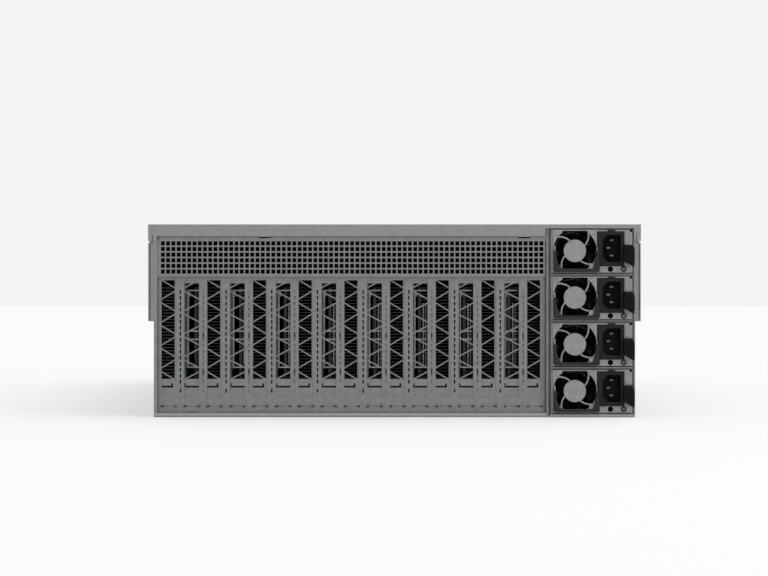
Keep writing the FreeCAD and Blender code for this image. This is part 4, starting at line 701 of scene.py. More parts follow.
for middle in COOLER_XS:
    for i in range(CHOKES):
        x = middle - CHOKE_START + i * CHOKE_PITCH
        low = (x - CHOKE_HALF, CHOKE_NEAR, FLOOR_TOP)
        block(shape, low, (x + CHOKE_HALF, CHOKE_FAR, CHOKE_HEAD), rounding=0.7)
    low = (middle - SINK_HALF, SINK_NEAR, FLOOR_TOP)
    block(shape, low, (middle + SINK_HALF, SINK_FAR, SINK_HEAD), rounding=0.5)
settle("supply_chokes", shape, choke_grey, "chassis")
CAN_PITCH = 10.0
FRONT_CANS, FRONT_CAN_START, FRONT_CAN_Y = 8, 35.0, 221.0
REAR_CANS, REAR_CAN_START, REAR_CAN_Y = 5, 20.0, 36.0
shape = bmesh.new()
for middle in COOLER_XS:
    for i in range(FRONT_CANS):
        x = middle - FRONT_CAN_START + i * CAN_PITCH
        can(shape, (x, FRONT_CAN_Y, FLOOR_TOP), dia=6.3, height=9.0)
    for i in range(REAR_CANS):
        x = middle - REAR_CAN_START + i * CAN_PITCH
        can(shape, (x, REAR_CAN_Y, FLOOR_TOP), dia=8.0, height=11.5)
settle("main_board_cans", shape, can_silver, "chassis")
# The near left and far right corners of each socket, and its height.
BOARD_SOCKETS = (
    ((-30.0, 232.0), (22.0, 242.5), 12.0),
    ((-150.0, 236.0), (-132.0, 246.0), 12.0),
    ((132.0, 236.0), (150.0, 246.0), 12.0),
    ((-150.0, -22.0), (-58.0, -14.0), 11.0),
    ((40.0, -22.0), (132.0, -14.0), 11.0),
    ((-100.0, 252.0), (-70.0, 262.0), 6.5),
    ((70.0, 252.0), (100.0, 262.0), 6.5),
)
SOCKET_WALL, SOCKET_TAPER, SOCKET_DEPTH = 1.2, 0.2, 5.0
HEIGHT_FIRST = 1000
shape = bmesh.new()
for near, far, tall in BOARD_SOCKETS:
    block(shape, (*near, FLOOR_TOP), (*far, FLOOR_TOP + tall), rounding=0.6, steps=1)
    mouth = max(shape.faces, key=lambda f: f.calc_center_median().z * HEIGHT_FIRST + f.calc_area())
    bmesh.ops.inset_individual(shape, faces=[mouth], thickness=SOCKET_WALL * MM, depth=0)
    bmesh.ops.inset_individual(shape, faces=[mouth], thickness=SOCKET_TAPER * MM, depth=-SOCKET_DEPTH * MM)
settle("board_sockets", shape, socket_black, "chassis")
# The near left and far right corners of each chip, and its height; the first carries fins.
CHIPSET_TALL = 2.4
BOARD_CHIPS = (
    ((-20.0, 0.0), (18.0, 38.0), CHIPSET_TALL),
    ((-142.0, 6.0), (-122.0, 26.0), 1.6),
    ((-108.0, 0.0), (-96.0, 12.0), 1.4),
    ((110.0, 4.0), (130.0, 24.0), 1.6),
    ((60.0, 232.0), (74.0, 246.0), 1.4),
    ((-60.0, 236.0), (-46.0, 250.0), 1.4),
)
shape = bmesh.new()
for near, far, tall in BOARD_CHIPS:
    block(shape, (*near, FLOOR_TOP), (*far, FLOOR_TOP + tall), rounding=0.3, steps=1)
settle("board_chips", shape, chip_black, "chassis")
CHIPSET_FINS, CHIPSET_FIN_PITCH = 9, 4.2
CHIPSET_FIN_LEFT, CHIPSET_FIN_RIGHT = -18.0, -16.8
CHIPSET_FIN_NEAR, CHIPSET_FIN_FAR, CHIPSET_FIN_HEAD = 1.0, 37.0, FLOOR_TOP + 14.0
shape = bmesh.new()
for i in range(CHIPSET_FINS):
    step = i * CHIPSET_FIN_PITCH
    low = (CHIPSET_FIN_LEFT + step, CHIPSET_FIN_NEAR, FLOOR_TOP + CHIPSET_TALL)
    block(shape, low, (CHIPSET_FIN_RIGHT + step, CHIPSET_FIN_FAR, CHIPSET_FIN_HEAD))
settle("chipset_fins", shape, fin_bright, "chassis")

# Fan wall: a sheet across the chassis with three framed fans that draw air over the cards.
# Steel coloured matt black as painted shade for the dark inside behind the vents; frames and seven-bladed
# rotors moulded in glass-filled black plastic.
wall_shade_black = blackened_metal("wall_shade_black", tone(20, 20, 21), tone(29, 29, 30), 0.6, (1, 1, 1))
dress(wall_shade_black, "fan_wall")
frame_black = moulded_plastic("frame_black", tone(18, 18, 19), tone(27, 27, 28), 0.5)
rotor_black = moulded_plastic("rotor_black", tone(14, 14, 15), tone(23, 23, 24), 0.42)
dress(frame_black, "fan_frames")
dress(rotor_black, "fan_rotor_1", "fan_rotor_2", "fan_rotor_3")
FAN_XS = (-138.0, 0.0, 138.0)
FAN_Z = 85.0
FAN_FACE, FAN_SCREW = -46.4, 52.5
shape = bmesh.new()
for x in FAN_XS:
    for dx in (-FAN_SCREW, FAN_SCREW):
        for dz in (-FAN_SCREW, FAN_SCREW):
            pan_screw(shape, (x + dx, FAN_FACE, FAN_Z + dz), "y", dia=7.0, height=2.0)
settle("fan_screws", shape, bright_zinc, "chassis")

# Front panel: slotted intake with a dust filter behind, and the power button with its lamps.
# Steel with a dark powder coat; filter of open dark foam in a waffle; the button moulded in plastic.
FRONT_Y = 368.5
PEEL_GRAIN, PEEL_DEPTH, PAINT_PATCHES = 620, 0.00009, 24


def powder_coat(name, dark, light, roughness=0.5):
    """Baked paint: orange-peel relief and a slightly uneven gloss over steel."""
    made = finish(name, light, 0.0, roughness)
    peel = pattern(made, "ShaderNodeTexNoise", PEEL_GRAIN, Detail=2)
    tint(made, pattern(made, "ShaderNodeTexNoise", PAINT_PATCHES, Detail=5).outputs["Fac"], dark, light)
    polish(made, peel.outputs["Fac"], roughness - 0.08, roughness + 0.1)
    emboss(made, peel.outputs["Fac"], PEEL_DEPTH)
    return made


coat_dark = powder_coat("coat_dark", tone(33, 34, 36), tone(44, 45, 47))
dress(coat_dark, "front_panel")
FILTER_HALF = 178.0
FILTER_LOW, FILTER_HIGH, FILTER_FACE = 9.0, 162.0, FRONT_Y - 3.2
CELLS_ACROSS, CELLS_UP = 66, 28
CELL_WALL, CELL_DEPTH, FOAM_SKIN = 0.9, 1.4, 1.2
middle = Vector((0, FILTER_FACE, (FILTER_LOW + FILTER_HIGH) / 2)) * MM
spread = Matrix.Diagonal((FILTER_HALF * MM, (FILTER_HIGH - FILTER_LOW) / 2 * MM, 1, 1))
there = Matrix.Translation(middle) @ Matrix.Rotation(-pi / 2, 4, "X") @ spread
shape = bmesh.new()
bmesh.ops.create_grid(shape, x_segments=CELLS_ACROSS, y_segments=CELLS_UP, size=1, matrix=there)
bmesh.ops.inset_individual(shape, faces=shape.faces[:], thickness=CELL_WALL * MM, depth=-CELL_DEPTH * MM)
bmesh.ops.solidify(shape, geom=shape.faces[:], thickness=FOAM_SKIN * MM)
foam_dark = moulded_plastic("foam_dark", tone(9, 9, 10), tone(17, 17, 18), 0.9, 520, 0.0006)
settle("intake_filter", shape, foam_dark, "chassis")
BUTTON_X, BUTTON_Z = 202.5, 128.0
button_grey = moulded_plastic("button_grey", tone(96, 97, 99), tone(116, 117, 119), 0.4)
dress(button_grey, "power_button")
soften(0.5, "power_button")


def full_spin(shape, made, section, sides):
    """Turns a section once round the upright axis and closes it."""
    bmesh.ops.spin(
        shape, geom=section + made["verts"], cent=(0, 0, 0), axis=(0, 0, 1), angle=2 * pi,
        steps=sides, use_merge=True,
    )


def ring(shape, middle, axis, dia, thickness, sides=32, across=10):
    """A round-section ring about an axis, spun from a small circle."""
    there = Matrix.Translation(Vector(middle) * MM) @ SPIN_TO[axis]
    out = Matrix.Translation((dia / 2 * MM, 0, 0)) @ Matrix.Rotation(pi / 2, 4, "X")
    made = bmesh.ops.create_circle(shape, segments=across, radius=thickness / 2 * MM, matrix=out)
    full_spin(shape, made, edges_of(made), sides)
    fresh = [v for v in shape.verts if not v.tag]
    bmesh.ops.transform(shape, matrix=there, verts=fresh)
    for v in fresh:
        v.tag = True


shape = bmesh.new()
ring(shape, (BUTTON_X, FRONT_Y + 0.3, BUTTON_Z), "y", dia=13.6, thickness=1.6)
settle("button_ring", shape, bright_zinc, "chassis")
lamp_green = moulded_plastic("lamp_green", tone(60, 150, 90), tone(90, 190, 120), 0.25)
LAMP_DROPS = (16.0, 23.0)
shape = bmesh.new()
for drop in LAMP_DROPS:
    round_head(shape, (BUTTON_X, FRONT_Y, BUTTON_Z - drop), "y", dia=3.0, height=0.8)
settle("front_lamps", shape, lamp_green, "chassis")

# Rack ears and handles: angle plates on the front corners, each with a bow handle.
# Plate and solid bar with a dark powder coat, the handles a shade darker than the ears.
dress(coat_dark, "left_ear", "right_ear")
handle_black = powder_coat("handle_black", tone(22, 22, 23), tone(31, 31, 32), 0.42)
dress(handle_black, "left_handle", "right_handle")
soften(0.8, "left_handle", "right_handle")
soften(0.4, "left_ear", "right_ear")
EAR_X, EAR_SCREW_Y, EAR_SCREW_ZS = 221.0, 326.0, (104.0, 137.0)
shape = bmesh.new()
for side, axis in ((-1, "-x"), (1, "x")):
    for z in EAR_SCREW_ZS:
        pan_screw(shape, (side * EAR_X, EAR_SCREW_Y, z), axis, dia=6.2, height=1.6)
settle("ear_screws", shape, bright_zinc, "chassis")

# Power supplies: four sealed steel cases in a riveted cage, each slid in from the rear.
# Brushed plated steel; on the face a stamped fan guard with swept arms, a moulded power inlet,
# a hinged pull handle, a release tab, a black plug kept near-black as painted shade for its hole, and a
# ring-shaped lamp.
PSU_LEFT = 138.9
PSU_FACE = REAR_Y
cage_steel = plated_steel("cage_steel", tone(98, 100, 100), tone(114, 116, 116))
dress(cage_steel, "psu_cage")
supply_steel = plated_steel("supply_steel", tone(119, 120, 120), tone(138, 139, 139), 0.36, (1, 1, 0.06))
guard_steel = plated_steel("guard_steel", tone(120, 122, 124), tone(138, 140, 142), 0.34, (1, 1, 1))
inlet_black = moulded_plastic("inlet_black", tone(17, 17, 17), tone(25, 25, 25), 0.45, sheen=0.15)
# A black darker than the inlet: painted shade lining the mouth of the power inlet.
mouth_shade_black = moulded_plastic("mouth_shade_black", tone(10, 10, 11), tone(16, 16, 17), 0.5, sheen=0.12)
latch_black = moulded_plastic("latch_black", tone(8, 8, 8), tone(13, 13, 13), 0.5, sheen=0.08)
bail_grey = moulded_plastic("bail_grey", tone(31, 32, 32), tone(40, 41, 41), 0.5, sheen=0.12)
# Near-black with almost no gloss: partly the real black of the fan housing and plug, deepened as painted
# shade for the fan well and the plug hole; the seam strip and corner block are painted shade only.
black_and_painted_shade = moulded_plastic("black_and_painted_shade", tone(3, 3, 3), tone(6, 6, 6), 0.7, sheen=0.03)
lamp_ring = moulded_plastic("lamp_ring", tone(22, 34, 25), tone(32, 46, 35), 0.3)
lamp_lens = moulded_plastic("lamp_lens", tone(84, 98, 88), tone(104, 120, 108), 0.2)
blade_nickel = plated_steel("blade_nickel", tone(78, 77, 74), tone(98, 97, 93), 0.4, (1, 0.06, 1))
screw_steel = plated_steel("screw_steel", tone(130, 132, 133), tone(148, 150, 151), 0.36, (1, 1, 1))
# Darker than the chassis fan rotors: painted shade for the rotor deep in the supply's fan well.
supply_rotor_shade = moulded_plastic("supply_rotor_shade", tone(8, 8, 8), tone(13, 13, 13), 0.45, sheen=0.1)
FAN_AT = (21.0, 19.8)
FAN_RADIUS = 18.6
DUCT_DEPTH, DUCT_WALL = 30.0, 0.4
HOUSING_LOW, HOUSING_HIGH, HOUSING_FACE = (1.6, 0.6), (40.4, 39.2), -0.2
GUARD_AT = (21.1, 21.1)
GUARD_LOW, GUARD_HIGH = (1.4, 1.5), (40.6, 39.4)
GUARD_FACE, GUARD_BACK = -2.0, -0.25
HUB_AT, HUB_RADIUS, HUB_BACK = (21.0, 20.7), 10.1, -0.6
MOUTH_RADIUS, MOUTH_HALF, MOUTH_HEAD, MOUTH_SUMP = 19.2, 11.3, 17.4, 16.6
ARM_HALF, ARM_BEND, ARM_TURN, ARM_SWEEP = 0.72, 13.3, radians(-69.5), radians(51)
ARM_CENTRE = (5.0, 12.5)
ARM_START = 27
ARM_FACE = GUARD_FACE + 0.1
GUARD_SCREWS = ((5.2, 36.0), (36.1, 36.0))
CORNER_SCREW = (35.9, 7.0)
# The left and right face of each handle lug, and the foot of its pin.
LUGS = ((4.7, 6.1, 2.6), (38.0, 39.4, 39.4))
LUG_FACE, LUG_LOW, LUG_HIGH = -6.4, 16.4, 20.6
PIN_Y, PIN_Z = -4.9, 18.5
# Thin bright zinc strips at the left and right of the guard rim: painted highlights along its edges.
LEFT_RIM_HIGHLIGHT = (2.8, -2.6, 20.4), (3.6, ARM_FACE, 25.4)
RIGHT_RIM_HIGHLIGHT = (40.3, -2.6, 17.8), (40.9, ARM_FACE, 24.0)
INLET_LOW, INLET_HIGH, INLET_FACE = (40.7, 7.4), (64.9, 38.2), -3.0
INLET_CATCH = (50.3, -2.7, 38.1), (56.8, -0.1, 39.4)
MOUTH_SHADE, MOUTH_SHADE_SHEET = ((45.5, -2.6, 10.8), (61.5, 12.8, 34.9)), 0.08
INLET_MOUTH = ((50.0, 11.0), (61.3, 11.0), (61.3, 34.7), (50.0, 34.7), (45.7, 30.4), (45.7, 15.3))
BLADES = ((53.7, 30.3), (50.9, 23.4), (53.7, 16.6))
BLADE_HALF_WIDTH, BLADE_HALF = 1.8, 0.9
BLADE_TIP, BLADE_ROOT = 1.5, 12.7
PLATE = (
    (43.0, 1.5), (71.6, 1.5), (71.6, 7.3), (66.3, 7.3),
    (66.3, 38.0), (64.5, 38.0), (64.5, 7.3), (43.0, 7.3),
)
PLATE_FACE, PLATE_BACK = -0.25, 0.05
SILL = (0.3, -0.3, -0.35), (71.8, PLATE_BACK, 0.55)
# A black strip along the foot of the face and a black block at its top right corner: painted shade for the
# seam above the shelf and the corner notch.
SEAM_SHADE = (0.4, -0.1, 0.6), (71.7, PLATE_BACK, 1.4)
CORNER_SHADE = (69.7, -0.3, 37.7), (71.9, 1.5, 39.5)
PLUG_AT = (52.65, 4.6)
LAMP_AT = (64.45, 4.75)
SEAT_Y = PLATE_FACE + 0.05
CASE_WIDE, CASE_TALL = 72.1, 39.6
SIDE_SCREW_YS, SIDE_SCREW_Z = (30.0, 130.0, 230.0), 20.0
TOP_SCREW_YS, TOP_SCREW_XS = (20.0, 140.0, 250.0), (8.0, 64.0)
RELEASE_FACE, RELEASE_BACK = -17.0, -9.5
RELEASE_STEM = (67.7, -10.0, 12.8), (71.3, 8.5, 24.4)
RIDGES, RIDGE_HALF = (-15.4, -13.6, -11.8), 0.4
RIDGE_LEFT, RIDGE_RIGHT, RIDGE_FOOT, RIDGE_HEAD = 72.0, 72.6, 9.5, 22.0
RELEASE = ((63.0, 12.1), (72.2, 6.4), (72.2, 23.6), (70.6, 25.4), (63.0, 26.4))
SPRING, SPRING_FACE = ((66.2, 7.2), (71.4, 7.2), (66.2, 12.3)), -0.4
HANDLE_FACE, HANDLE_BACK = -6.5, -3.3
HANDLE = (
    (1.8, 20.2), (1.8, 3.4), (3.1, 2.1), (41.5, 2.1), (42.8, 3.4), (42.2, 20.2),
    (39.7, 20.2), (39.7, 16.0), (38.4, 14.8), (38.1, 8.2), (36.2, 4.9),
    (9.4, 4.9), (6.2, 8.4), (4.6, 13.4), (4.4, 20.2),
)


def round_outline(middle, radius, sides=48):
    """Points on a circle, across and up."""
    turns = [2 * pi * i / sides for i in range(sides)]
    return [(middle[0] + radius * cos(t), middle[1] + radius * sin(t)) for t in turns]


def guard_mouth(sides=96):
    """The opening of the fan guard: round at the sides, squared and cut flat at head and foot."""
    points = []
    for i in range(sides):
        turn = 2 * pi * (i + 0.5) / sides
        flat = (MOUTH_HEAD if sin(turn) > 0 else MOUTH_SUMP) / abs(sin(turn))
        reach = min(max(MOUTH_RADIUS, min(MOUTH_HALF / abs(cos(turn)), flat)), flat)
        points.append((GUARD_AT[0] + reach * cos(turn), GUARD_AT[1] + reach * sin(turn)))
    return points


def guard_arm(quarter, steps=8):
    """One swept arm of the fan guard, from the hub to the rim."""
    points = []
    for radius, order in ((ARM_BEND + ARM_HALF, 1), (ARM_BEND - ARM_HALF, -1)):
        for i in range(steps + 1)[::order]:
            turn = ARM_TURN + ARM_SWEEP * i / steps
            points.append((ARM_CENTRE[0] + radius * cos(turn), ARM_CENTRE[1] + radius * sin(turn)))
    turn = radians(ARM_START + 90 * quarter)
    return [
        (GUARD_AT[0] + x * cos(turn) - z * sin(turn), GUARD_AT[1] + x * sin(turn) + z * cos(turn))
        for x, z in points
    ]


def washer(shape, middle, axis, inner, outer, thickness, sides=48):
    """A flat ring or tube, in millimetres, spun from its square section and standing on its middle point."""
    out = Matrix.Translation(((inner + outer) / 2 * MM, 0, thickness / 2 * MM))
    square = Matrix.Diagonal(((outer - inner) * MM, thickness * MM, 1, 1))
    upright = out @ Matrix.Rotation(pi / 2, 4, "X") @ square
    made = bmesh.ops.create_grid(shape, x_segments=1, y_segments=1, size=0.5, matrix=upright)
    section = edges_of(made)
    bmesh.ops.delete(shape, geom=faces_of(made), context="FACES_ONLY")
    full_spin(shape, made, section, sides)
    there = Matrix.Translation(Vector(middle) * MM) @ SPIN_TO[axis]
    bmesh.ops.transform(shape, matrix=there, verts=shape.verts)


def fixed(body, seat, name, shape, material, part=""):
    """Sets a piece drawn from the corner of its supply in place and fixes it to its carrier."""
    bmesh.ops.translate(shape, vec=seat, verts=shape.verts)
    return settle(f"{body}_{name}", shape, material, body + part)


for k in range(1, 5):
    body = f"psu{k}"
    dress(supply_steel, f"psu{k}_case")
    dress(supply_rotor_shade, f"psu{k}_fan_rotor")
    soften(0.2, f"psu{k}_case")
    seat = Vector((PSU_LEFT, PSU_FACE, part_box(f"psu{k}_case")[0][2] / MM)) * MM

    # The black duct and plate behind the guard: partly the fan's real black frame, partly painted shade for
    # the fan well.
    shape = bmesh.new()
    duct_end = (FAN_AT[0], DUCT_DEPTH, FAN_AT[1])
    washer(shape, duct_end, "-y", FAN_RADIUS, FAN_RADIUS + DUCT_WALL, DUCT_DEPTH)
    housing = [square_outline(HOUSING_LOW, HOUSING_HIGH), round_outline(FAN_AT, FAN_RADIUS)]
    stamped(shape, housing, HOUSING_FACE, 0.0, rounding=0.05)
    fixed(body, seat, "fan_housing", shape, black_and_painted_shade)
    shape = bmesh.new()
    stamped(shape, [square_outline(GUARD_LOW, GUARD_HIGH), guard_mouth()], GUARD_FACE, GUARD_BACK)
    stamped(shape, [round_outline(HUB_AT, HUB_RADIUS)], GUARD_FACE, HUB_BACK, rounding=0.4)
    for quarter in range(4):
        stamped(shape, [guard_arm(quarter)], ARM_FACE, HUB_BACK)
    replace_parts(fixed(body, seat, "guard", shape, guard_steel), f"psu{k}_fan_guard")
    shape = bmesh.new()
    for x, z in GUARD_SCREWS:
        pan_screw(shape, (x, GUARD_FACE, z), "-y", dia=4.4, height=0.9)
    fixed(body, seat, "guard_screws", shape, screw_steel)
    shape = bmesh.new()
    pan_screw(shape, (CORNER_SCREW[0], GUARD_FACE, CORNER_SCREW[1]), "-y", dia=5.4, height=0.9)
    fixed(body, seat, "corner_screw", shape, frame_steel)
    shape = bmesh.new()
    for left, right, pin_left in LUGS:
        block(shape, (left, LUG_FACE, LUG_LOW), (right, GUARD_FACE, LUG_HIGH), rounding=0.5)
        round_head(shape, (pin_left, PIN_Y, PIN_Z), "x", dia=2.0, height=2.1)
    fixed(body, seat, "handle_lugs", shape, latch_black)
    # Painted highlights: bright strips at the left and right of the guard rim.
    shape = bmesh.new()
    block(shape, *LEFT_RIM_HIGHLIGHT, rounding=0.3)
    block(shape, *RIGHT_RIM_HIGHLIGHT, rounding=0.25)
    fixed(body, seat, "guard_rim_highlights", shape, bright_zinc)
    shape = bmesh.new()
    stamped(shape, [HANDLE], HANDLE_FACE, HANDLE_BACK, rounding=0.6)
    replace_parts(fixed(body, seat, "pull_handle", shape, bail_grey, "_bail"), f"psu{k}_handle")
    shape = bmesh.new()
    stamped(shape, [square_outline(INLET_LOW, INLET_HIGH), INLET_MOUTH], INLET_FACE, 0.0, rounding=0.5)
    block(shape, *INLET_CATCH, rounding=0.3)
    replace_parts(fixed(body, seat, "power_inlet", shape, inlet_black), f"psu{k}_inlet")
    shape = bmesh.new()
    # A thin black lining inside the inlet mouth: painted shade in its recess.
    block(shape, *MOUTH_SHADE)
    front = min(shape.faces, key=lambda f: f.calc_center_median().y)
    bmesh.ops.delete(shape, geom=[front], context="FACES")
    bmesh.ops.solidify(shape, geom=shape.faces[:], thickness=MOUTH_SHADE_SHEET * MM)
    fixed(body, seat, "inlet_mouth_shade", shape, mouth_shade_black)
    shape = bmesh.new()
    for x, z in BLADES:
        low = (x - BLADE_HALF_WIDTH, BLADE_TIP, z - BLADE_HALF)
        block(shape, low, (x + BLADE_HALF_WIDTH, BLADE_ROOT, z + BLADE_HALF), rounding=0.5)
    fixed(body, seat, "inlet_blades", shape, blade_nickel)
    shape = bmesh.new()
    stamped(shape, [PLATE], PLATE_FACE, PLATE_BACK, rounding=0.1)
    block(shape, *SILL, rounding=0.15, steps=1)
    fixed(body, seat, "face_plate", shape, supply_steel)
    # Painted shade: the dark seam strip and corner block; the near-black plug also stands for the shade of
    # its hole.
    shape = bmesh.new()
    block(shape, *SEAM_SHADE, rounding=0.05, steps=1)
    block(shape, *CORNER_SHADE, rounding=0.2, steps=1)
    round_head(shape, (PLUG_AT[0], SEAT_Y, PLUG_AT[1]), "-y", dia=4.9, height=0.35)
    fixed(body, seat, "plug", shape, black_and_painted_shade)
    shape = bmesh.new()
    lamp_foot = (LAMP_AT[0], PLATE_FACE, LAMP_AT[1])
    ring(shape, lamp_foot, "-y", dia=4.0, thickness=1.4, sides=24, across=8)
    fixed(body, seat, "lamp_ring", shape, lamp_ring)
    shape = bmesh.new()
    round_head(shape, (LAMP_AT[0], SEAT_Y, LAMP_AT[1]), "-y", dia=2.8, height=0.4)
    fixed(body, seat, "lamp_lens", shape, lamp_lens)
    shape = bmesh.new()
    for axis, x in (("-x", 0.0), ("x", CASE_WIDE)):
        for y in SIDE_SCREW_YS:
            round_head(shape, (x, y, SIDE_SCREW_Z), axis, dia=5.0, height=0.3, sides=12)
    for y in TOP_SCREW_YS:
        for x in TOP_SCREW_XS:
            round_head(shape, (x, y, CASE_TALL), "z", dia=5.0, height=0.3, sides=12)
    fixed(body, seat, "screws", shape, bright_zinc)
    shape = bmesh.new()
    stamped(shape, [SPRING], SPRING_FACE, 0.0, rounding=0.1)
    fixed(body, seat, "release_spring", shape, supply_steel)
    shape = bmesh.new()
    stamped(shape, [RELEASE], RELEASE_FACE, RELEASE_BACK, rounding=0.7)
    block(shape, *RELEASE_STEM, rounding=0.5)
    for y in RIDGES:
        low = (RIDGE_LEFT, y - RIDGE_HALF, RIDGE_FOOT)
        block(shape, low, (RIDGE_RIGHT, y + RIDGE_HALF, RIDGE_HEAD), rounding=0.25, steps=1)
    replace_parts(fixed(body, seat, "release_tab", shape, latch_black, "_release"), f"psu{k}_latch")

# Cover: the lift-off lid, bent down over the walls and screwed through its skirts.
# Plated steel with the grain along the chassis; two shallow pressed panels and a finger grip stiffen it.
# Thin dark strips on the rear lip are painted shade for its corner slits and for the seam line above the
# panel's edge.
cover_steel = plated_steel("cover_steel", tone(122, 123, 125), tone(134, 135, 137))
LID_TOP = 171.0
PANEL_HALF = 190.0
PANEL_NEAR, PANEL_FAR = 45.0, 320.0
GRIP_HALF_WIDTH, GRIP_HALF_DEPTH = 60.0, 13.0
PRESSED, PRESS_SLOPE = 0.6, 2.4
LID_SKIN = 0.05
CUT_GAP = 0.000001
LIP_FACE, LIP_FOOT, LIP_SIDE_TOP = -369.8, 160.7, 167.4
LIP_SLITS = ((-215.0, -214.3), (-210.6, -209.9), (214.3, 215.0))
SLIT_FOOT, SLIT_HEAD = 156.8, 161.2


def lid_faces(shape):
    """The faces of the flat top of the lid."""
    level = (LID_TOP - LID_SKIN) * MM
    return [f for f in shape.faces if f.normal.z > UPWARDS and f.calc_center_median().z > level]


def lid_cut(shape, faces, at, across):
    """Cuts some faces of the lid along a line, in millimetres, square to an axis."""
    edges = list(dict.fromkeys(e for f in faces for e in f.edges))
    corners = list(dict.fromkeys(v for f in faces for v in f.verts))
    point = [at * MM * n for n in across]
    bmesh.ops.bisect_plane(
        shape, geom=faces + edges + corners, dist=CUT_GAP, plane_co=point, plane_no=across,
    )


def lid_region(shape, low, high):
    """The faces of the lid between two corners, in millimetres."""
    return [f for f in lid_faces(shape)
            if all(a * MM < c < b * MM for a, c, b in zip(low, f.calc_center_median(), high))]


shape = bmesh.new()
shape.from_mesh(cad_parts["top_cover"].data)
bmesh.ops.remove_doubles(shape, verts=shape.verts[:], dist=JOIN_GAP)
bmesh.ops.dissolve_limit(shape, angle_limit=radians(1), verts=shape.verts[:], edges=shape.edges[:])
for at in (-PANEL_HALF, PANEL_HALF):
    lid_cut(shape, lid_faces(shape), at, (1, 0, 0))
for at in (-PANEL_FAR, -PANEL_NEAR, PANEL_NEAR, PANEL_FAR):
    lid_cut(shape, lid_faces(shape), at, (0, 1, 0))
band = (-PANEL_HALF, -PANEL_NEAR), (PANEL_HALF, PANEL_NEAR)
for at in (-GRIP_HALF_WIDTH, GRIP_HALF_WIDTH):
    lid_cut(shape, lid_region(shape, *band), at, (1, 0, 0))
grip_band = (-GRIP_HALF_WIDTH, -PANEL_NEAR), (GRIP_HALF_WIDTH, PANEL_NEAR)
for at in (-GRIP_HALF_DEPTH, GRIP_HALF_DEPTH):
    lid_cut(shape, lid_region(shape, *grip_band), at, (0, 1, 0))
for low, high in (
    ((-PANEL_HALF, -PANEL_FAR), (PANEL_HALF, -PANEL_NEAR)),
    ((-PANEL_HALF, PANEL_NEAR), (PANEL_HALF, PANEL_FAR)),
    ((-GRIP_HALF_WIDTH, -GRIP_HALF_DEPTH), (GRIP_HALF_WIDTH, GRIP_HALF_DEPTH)),
):
    bmesh.ops.inset_region(
        shape, faces=lid_region(shape, low, high), thickness=PRESS_SLOPE * MM, depth=-PRESSED * MM,
        use_even_offset=True,
    )
lid = settle("pressed_lid", shape, cover_steel, "cover")
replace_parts(lid, "top_cover")
COVER_SCREW_YS, COVER_SCREW_Z = (-300.0, -100.0, 100.0, 300.0), 163.0
shape = bmesh.new()
for side, axis in ((-1, "-x"), (1, "x")):
    for y in COVER_SCREW_YS:
        pan_screw(shape, (side * TOP_X, y, COVER_SCREW_Z), axis, dia=6.2, height=1.2)
settle("cover_screws", shape, bright_zinc, "cover")
# Painted shade: dark strips on the lip at the corner slits and above the edge strip.
STRIP_FACE, STRIP_BACK = LIP_FACE - 0.1, LIP_FACE + 0.2
shape = bmesh.new()
high = (EDGE_SHADE_RIGHT + 0.2, STRIP_BACK, LIP_SIDE_TOP)
block(shape, (EDGE_SHADE_LEFT, STRIP_FACE, LIP_FOOT), high, rounding=0.05, steps=1)
for left, right in LIP_SLITS:
    high = (right, STRIP_BACK, SLIT_HEAD)
    block(shape, (left, STRIP_FACE, SLIT_FOOT), high, rounding=0.05, steps=1)
settle("lip_shade_strips", shape, painted_shade_grey, "cover")

# Studio: pale floor, white surroundings, one soft lamp and the camera straight behind the chassis.
# The camera stands two metres off, level with the upper third of the chassis.
FLOOR_SIZE = 12.0
FLOOR_GLOW = 0.4
FLOOR_SHADE, FLOOR_ROUGHNESS = 0.3, 0.95
SIDE_LIGHT = 0.9
TOP_LIGHT = 2.4
BRIGHTEST = (0.5, -0.25, 0.85)
SKY_LOW, SKY_HIGH = 0.3, 0.9
shape = bmesh.new()
bmesh.ops.create_grid(shape, x_segments=1, y_segments=1, size=FLOOR_SIZE)
mesh = bpy.data.meshes.new("floor")
shape.to_mesh(mesh)
shape.free()
floor = bpy.data.objects.new("floor", mesh)
bpy.context.scene.collection.objects.link(floor)
floor_white = finish("floor_white", (FLOOR_SHADE,) * 3, 0.0, FLOOR_ROUGHNESS)
glow = floor_white.node_tree.nodes["Principled BSDF"].inputs
glow["Emission Color"].default_value = (1, 1, 1, 1)
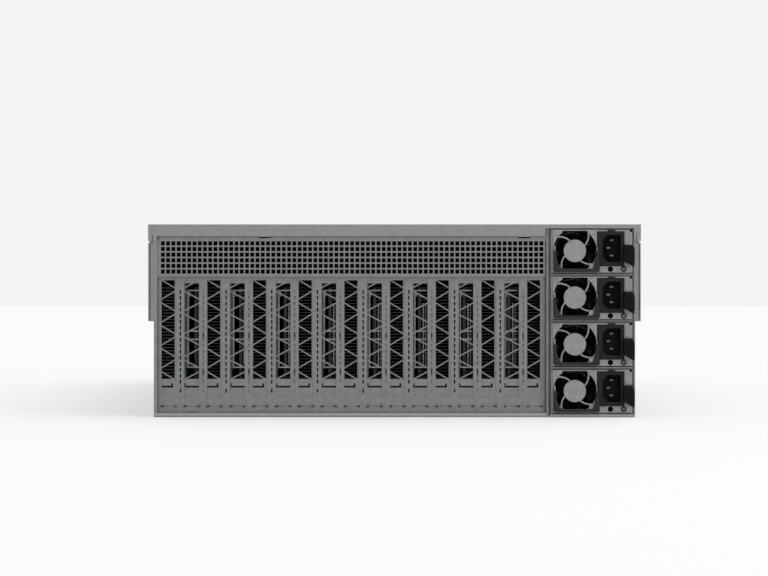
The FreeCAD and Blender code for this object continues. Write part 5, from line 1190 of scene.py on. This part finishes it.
glow["Emission Strength"].default_value = FLOOR_GLOW
mesh.materials.append(floor_white)

world = bpy.data.worlds.new("studio")
world.use_nodes = True
sky = world.node_tree.nodes
direction = sky.new("ShaderNodeTexCoord")
towards = sky.new("ShaderNodeVectorMath")
towards.operation = "DOT_PRODUCT"
towards.inputs[1].default_value = Vector(BRIGHTEST).normalized()
overhead = sky.new("ShaderNodeMapRange")
overhead.inputs["From Min"].default_value = SKY_LOW
overhead.inputs["From Max"].default_value = SKY_HIGH
overhead.inputs["To Min"].default_value = SIDE_LIGHT
overhead.inputs["To Max"].default_value = TOP_LIGHT
world.node_tree.links.new(direction.outputs["Generated"], towards.inputs[0])
world.node_tree.links.new(towards.outputs["Value"], overhead.inputs["Value"])
world.node_tree.links.new(overhead.outputs["Result"], sky["Background"].inputs["Strength"])
sky["Background"].inputs["Color"].default_value = (1, 1, 1, 1)
bpy.context.scene.world = world

KEY_AT, KEY_AIM = Vector((0.9, -1.5, 1.9)), Vector((0, -0.37, 0.1))
KEY_SIDE, KEY_POWER = 0.9, 5
light = bpy.data.lights.new("key", "AREA")
light.shape = "SQUARE"
light.size = KEY_SIDE
light.energy = KEY_POWER
key = bpy.data.objects.new("key", light)
key.location = KEY_AT
key.rotation_euler = (KEY_AIM - KEY_AT).to_track_quat("-Z", "Y").to_euler()
bpy.context.scene.collection.objects.link(key)

CAMERA_BACK = 2.0
CAMERA_SIDE = -0.0093
CAMERA_HEIGHT = 0.1146
VIEW_WIDTH = 0.6813
SENSOR_WIDTH = 36
view = bpy.data.cameras.new("camera")
view.sensor_width = SENSOR_WIDTH
view.lens = SENSOR_WIDTH * CAMERA_BACK / VIEW_WIDTH
camera = bpy.data.objects.new("camera", view)
camera.location = (CAMERA_SIDE, REAR_Y * MM - CAMERA_BACK, CAMERA_HEIGHT)
camera.rotation_euler = (radians(90), 0, 0)
bpy.context.scene.collection.objects.link(camera)
bpy.context.scene.camera = camera
bpy.context.scene.view_settings.view_transform = "Standard"
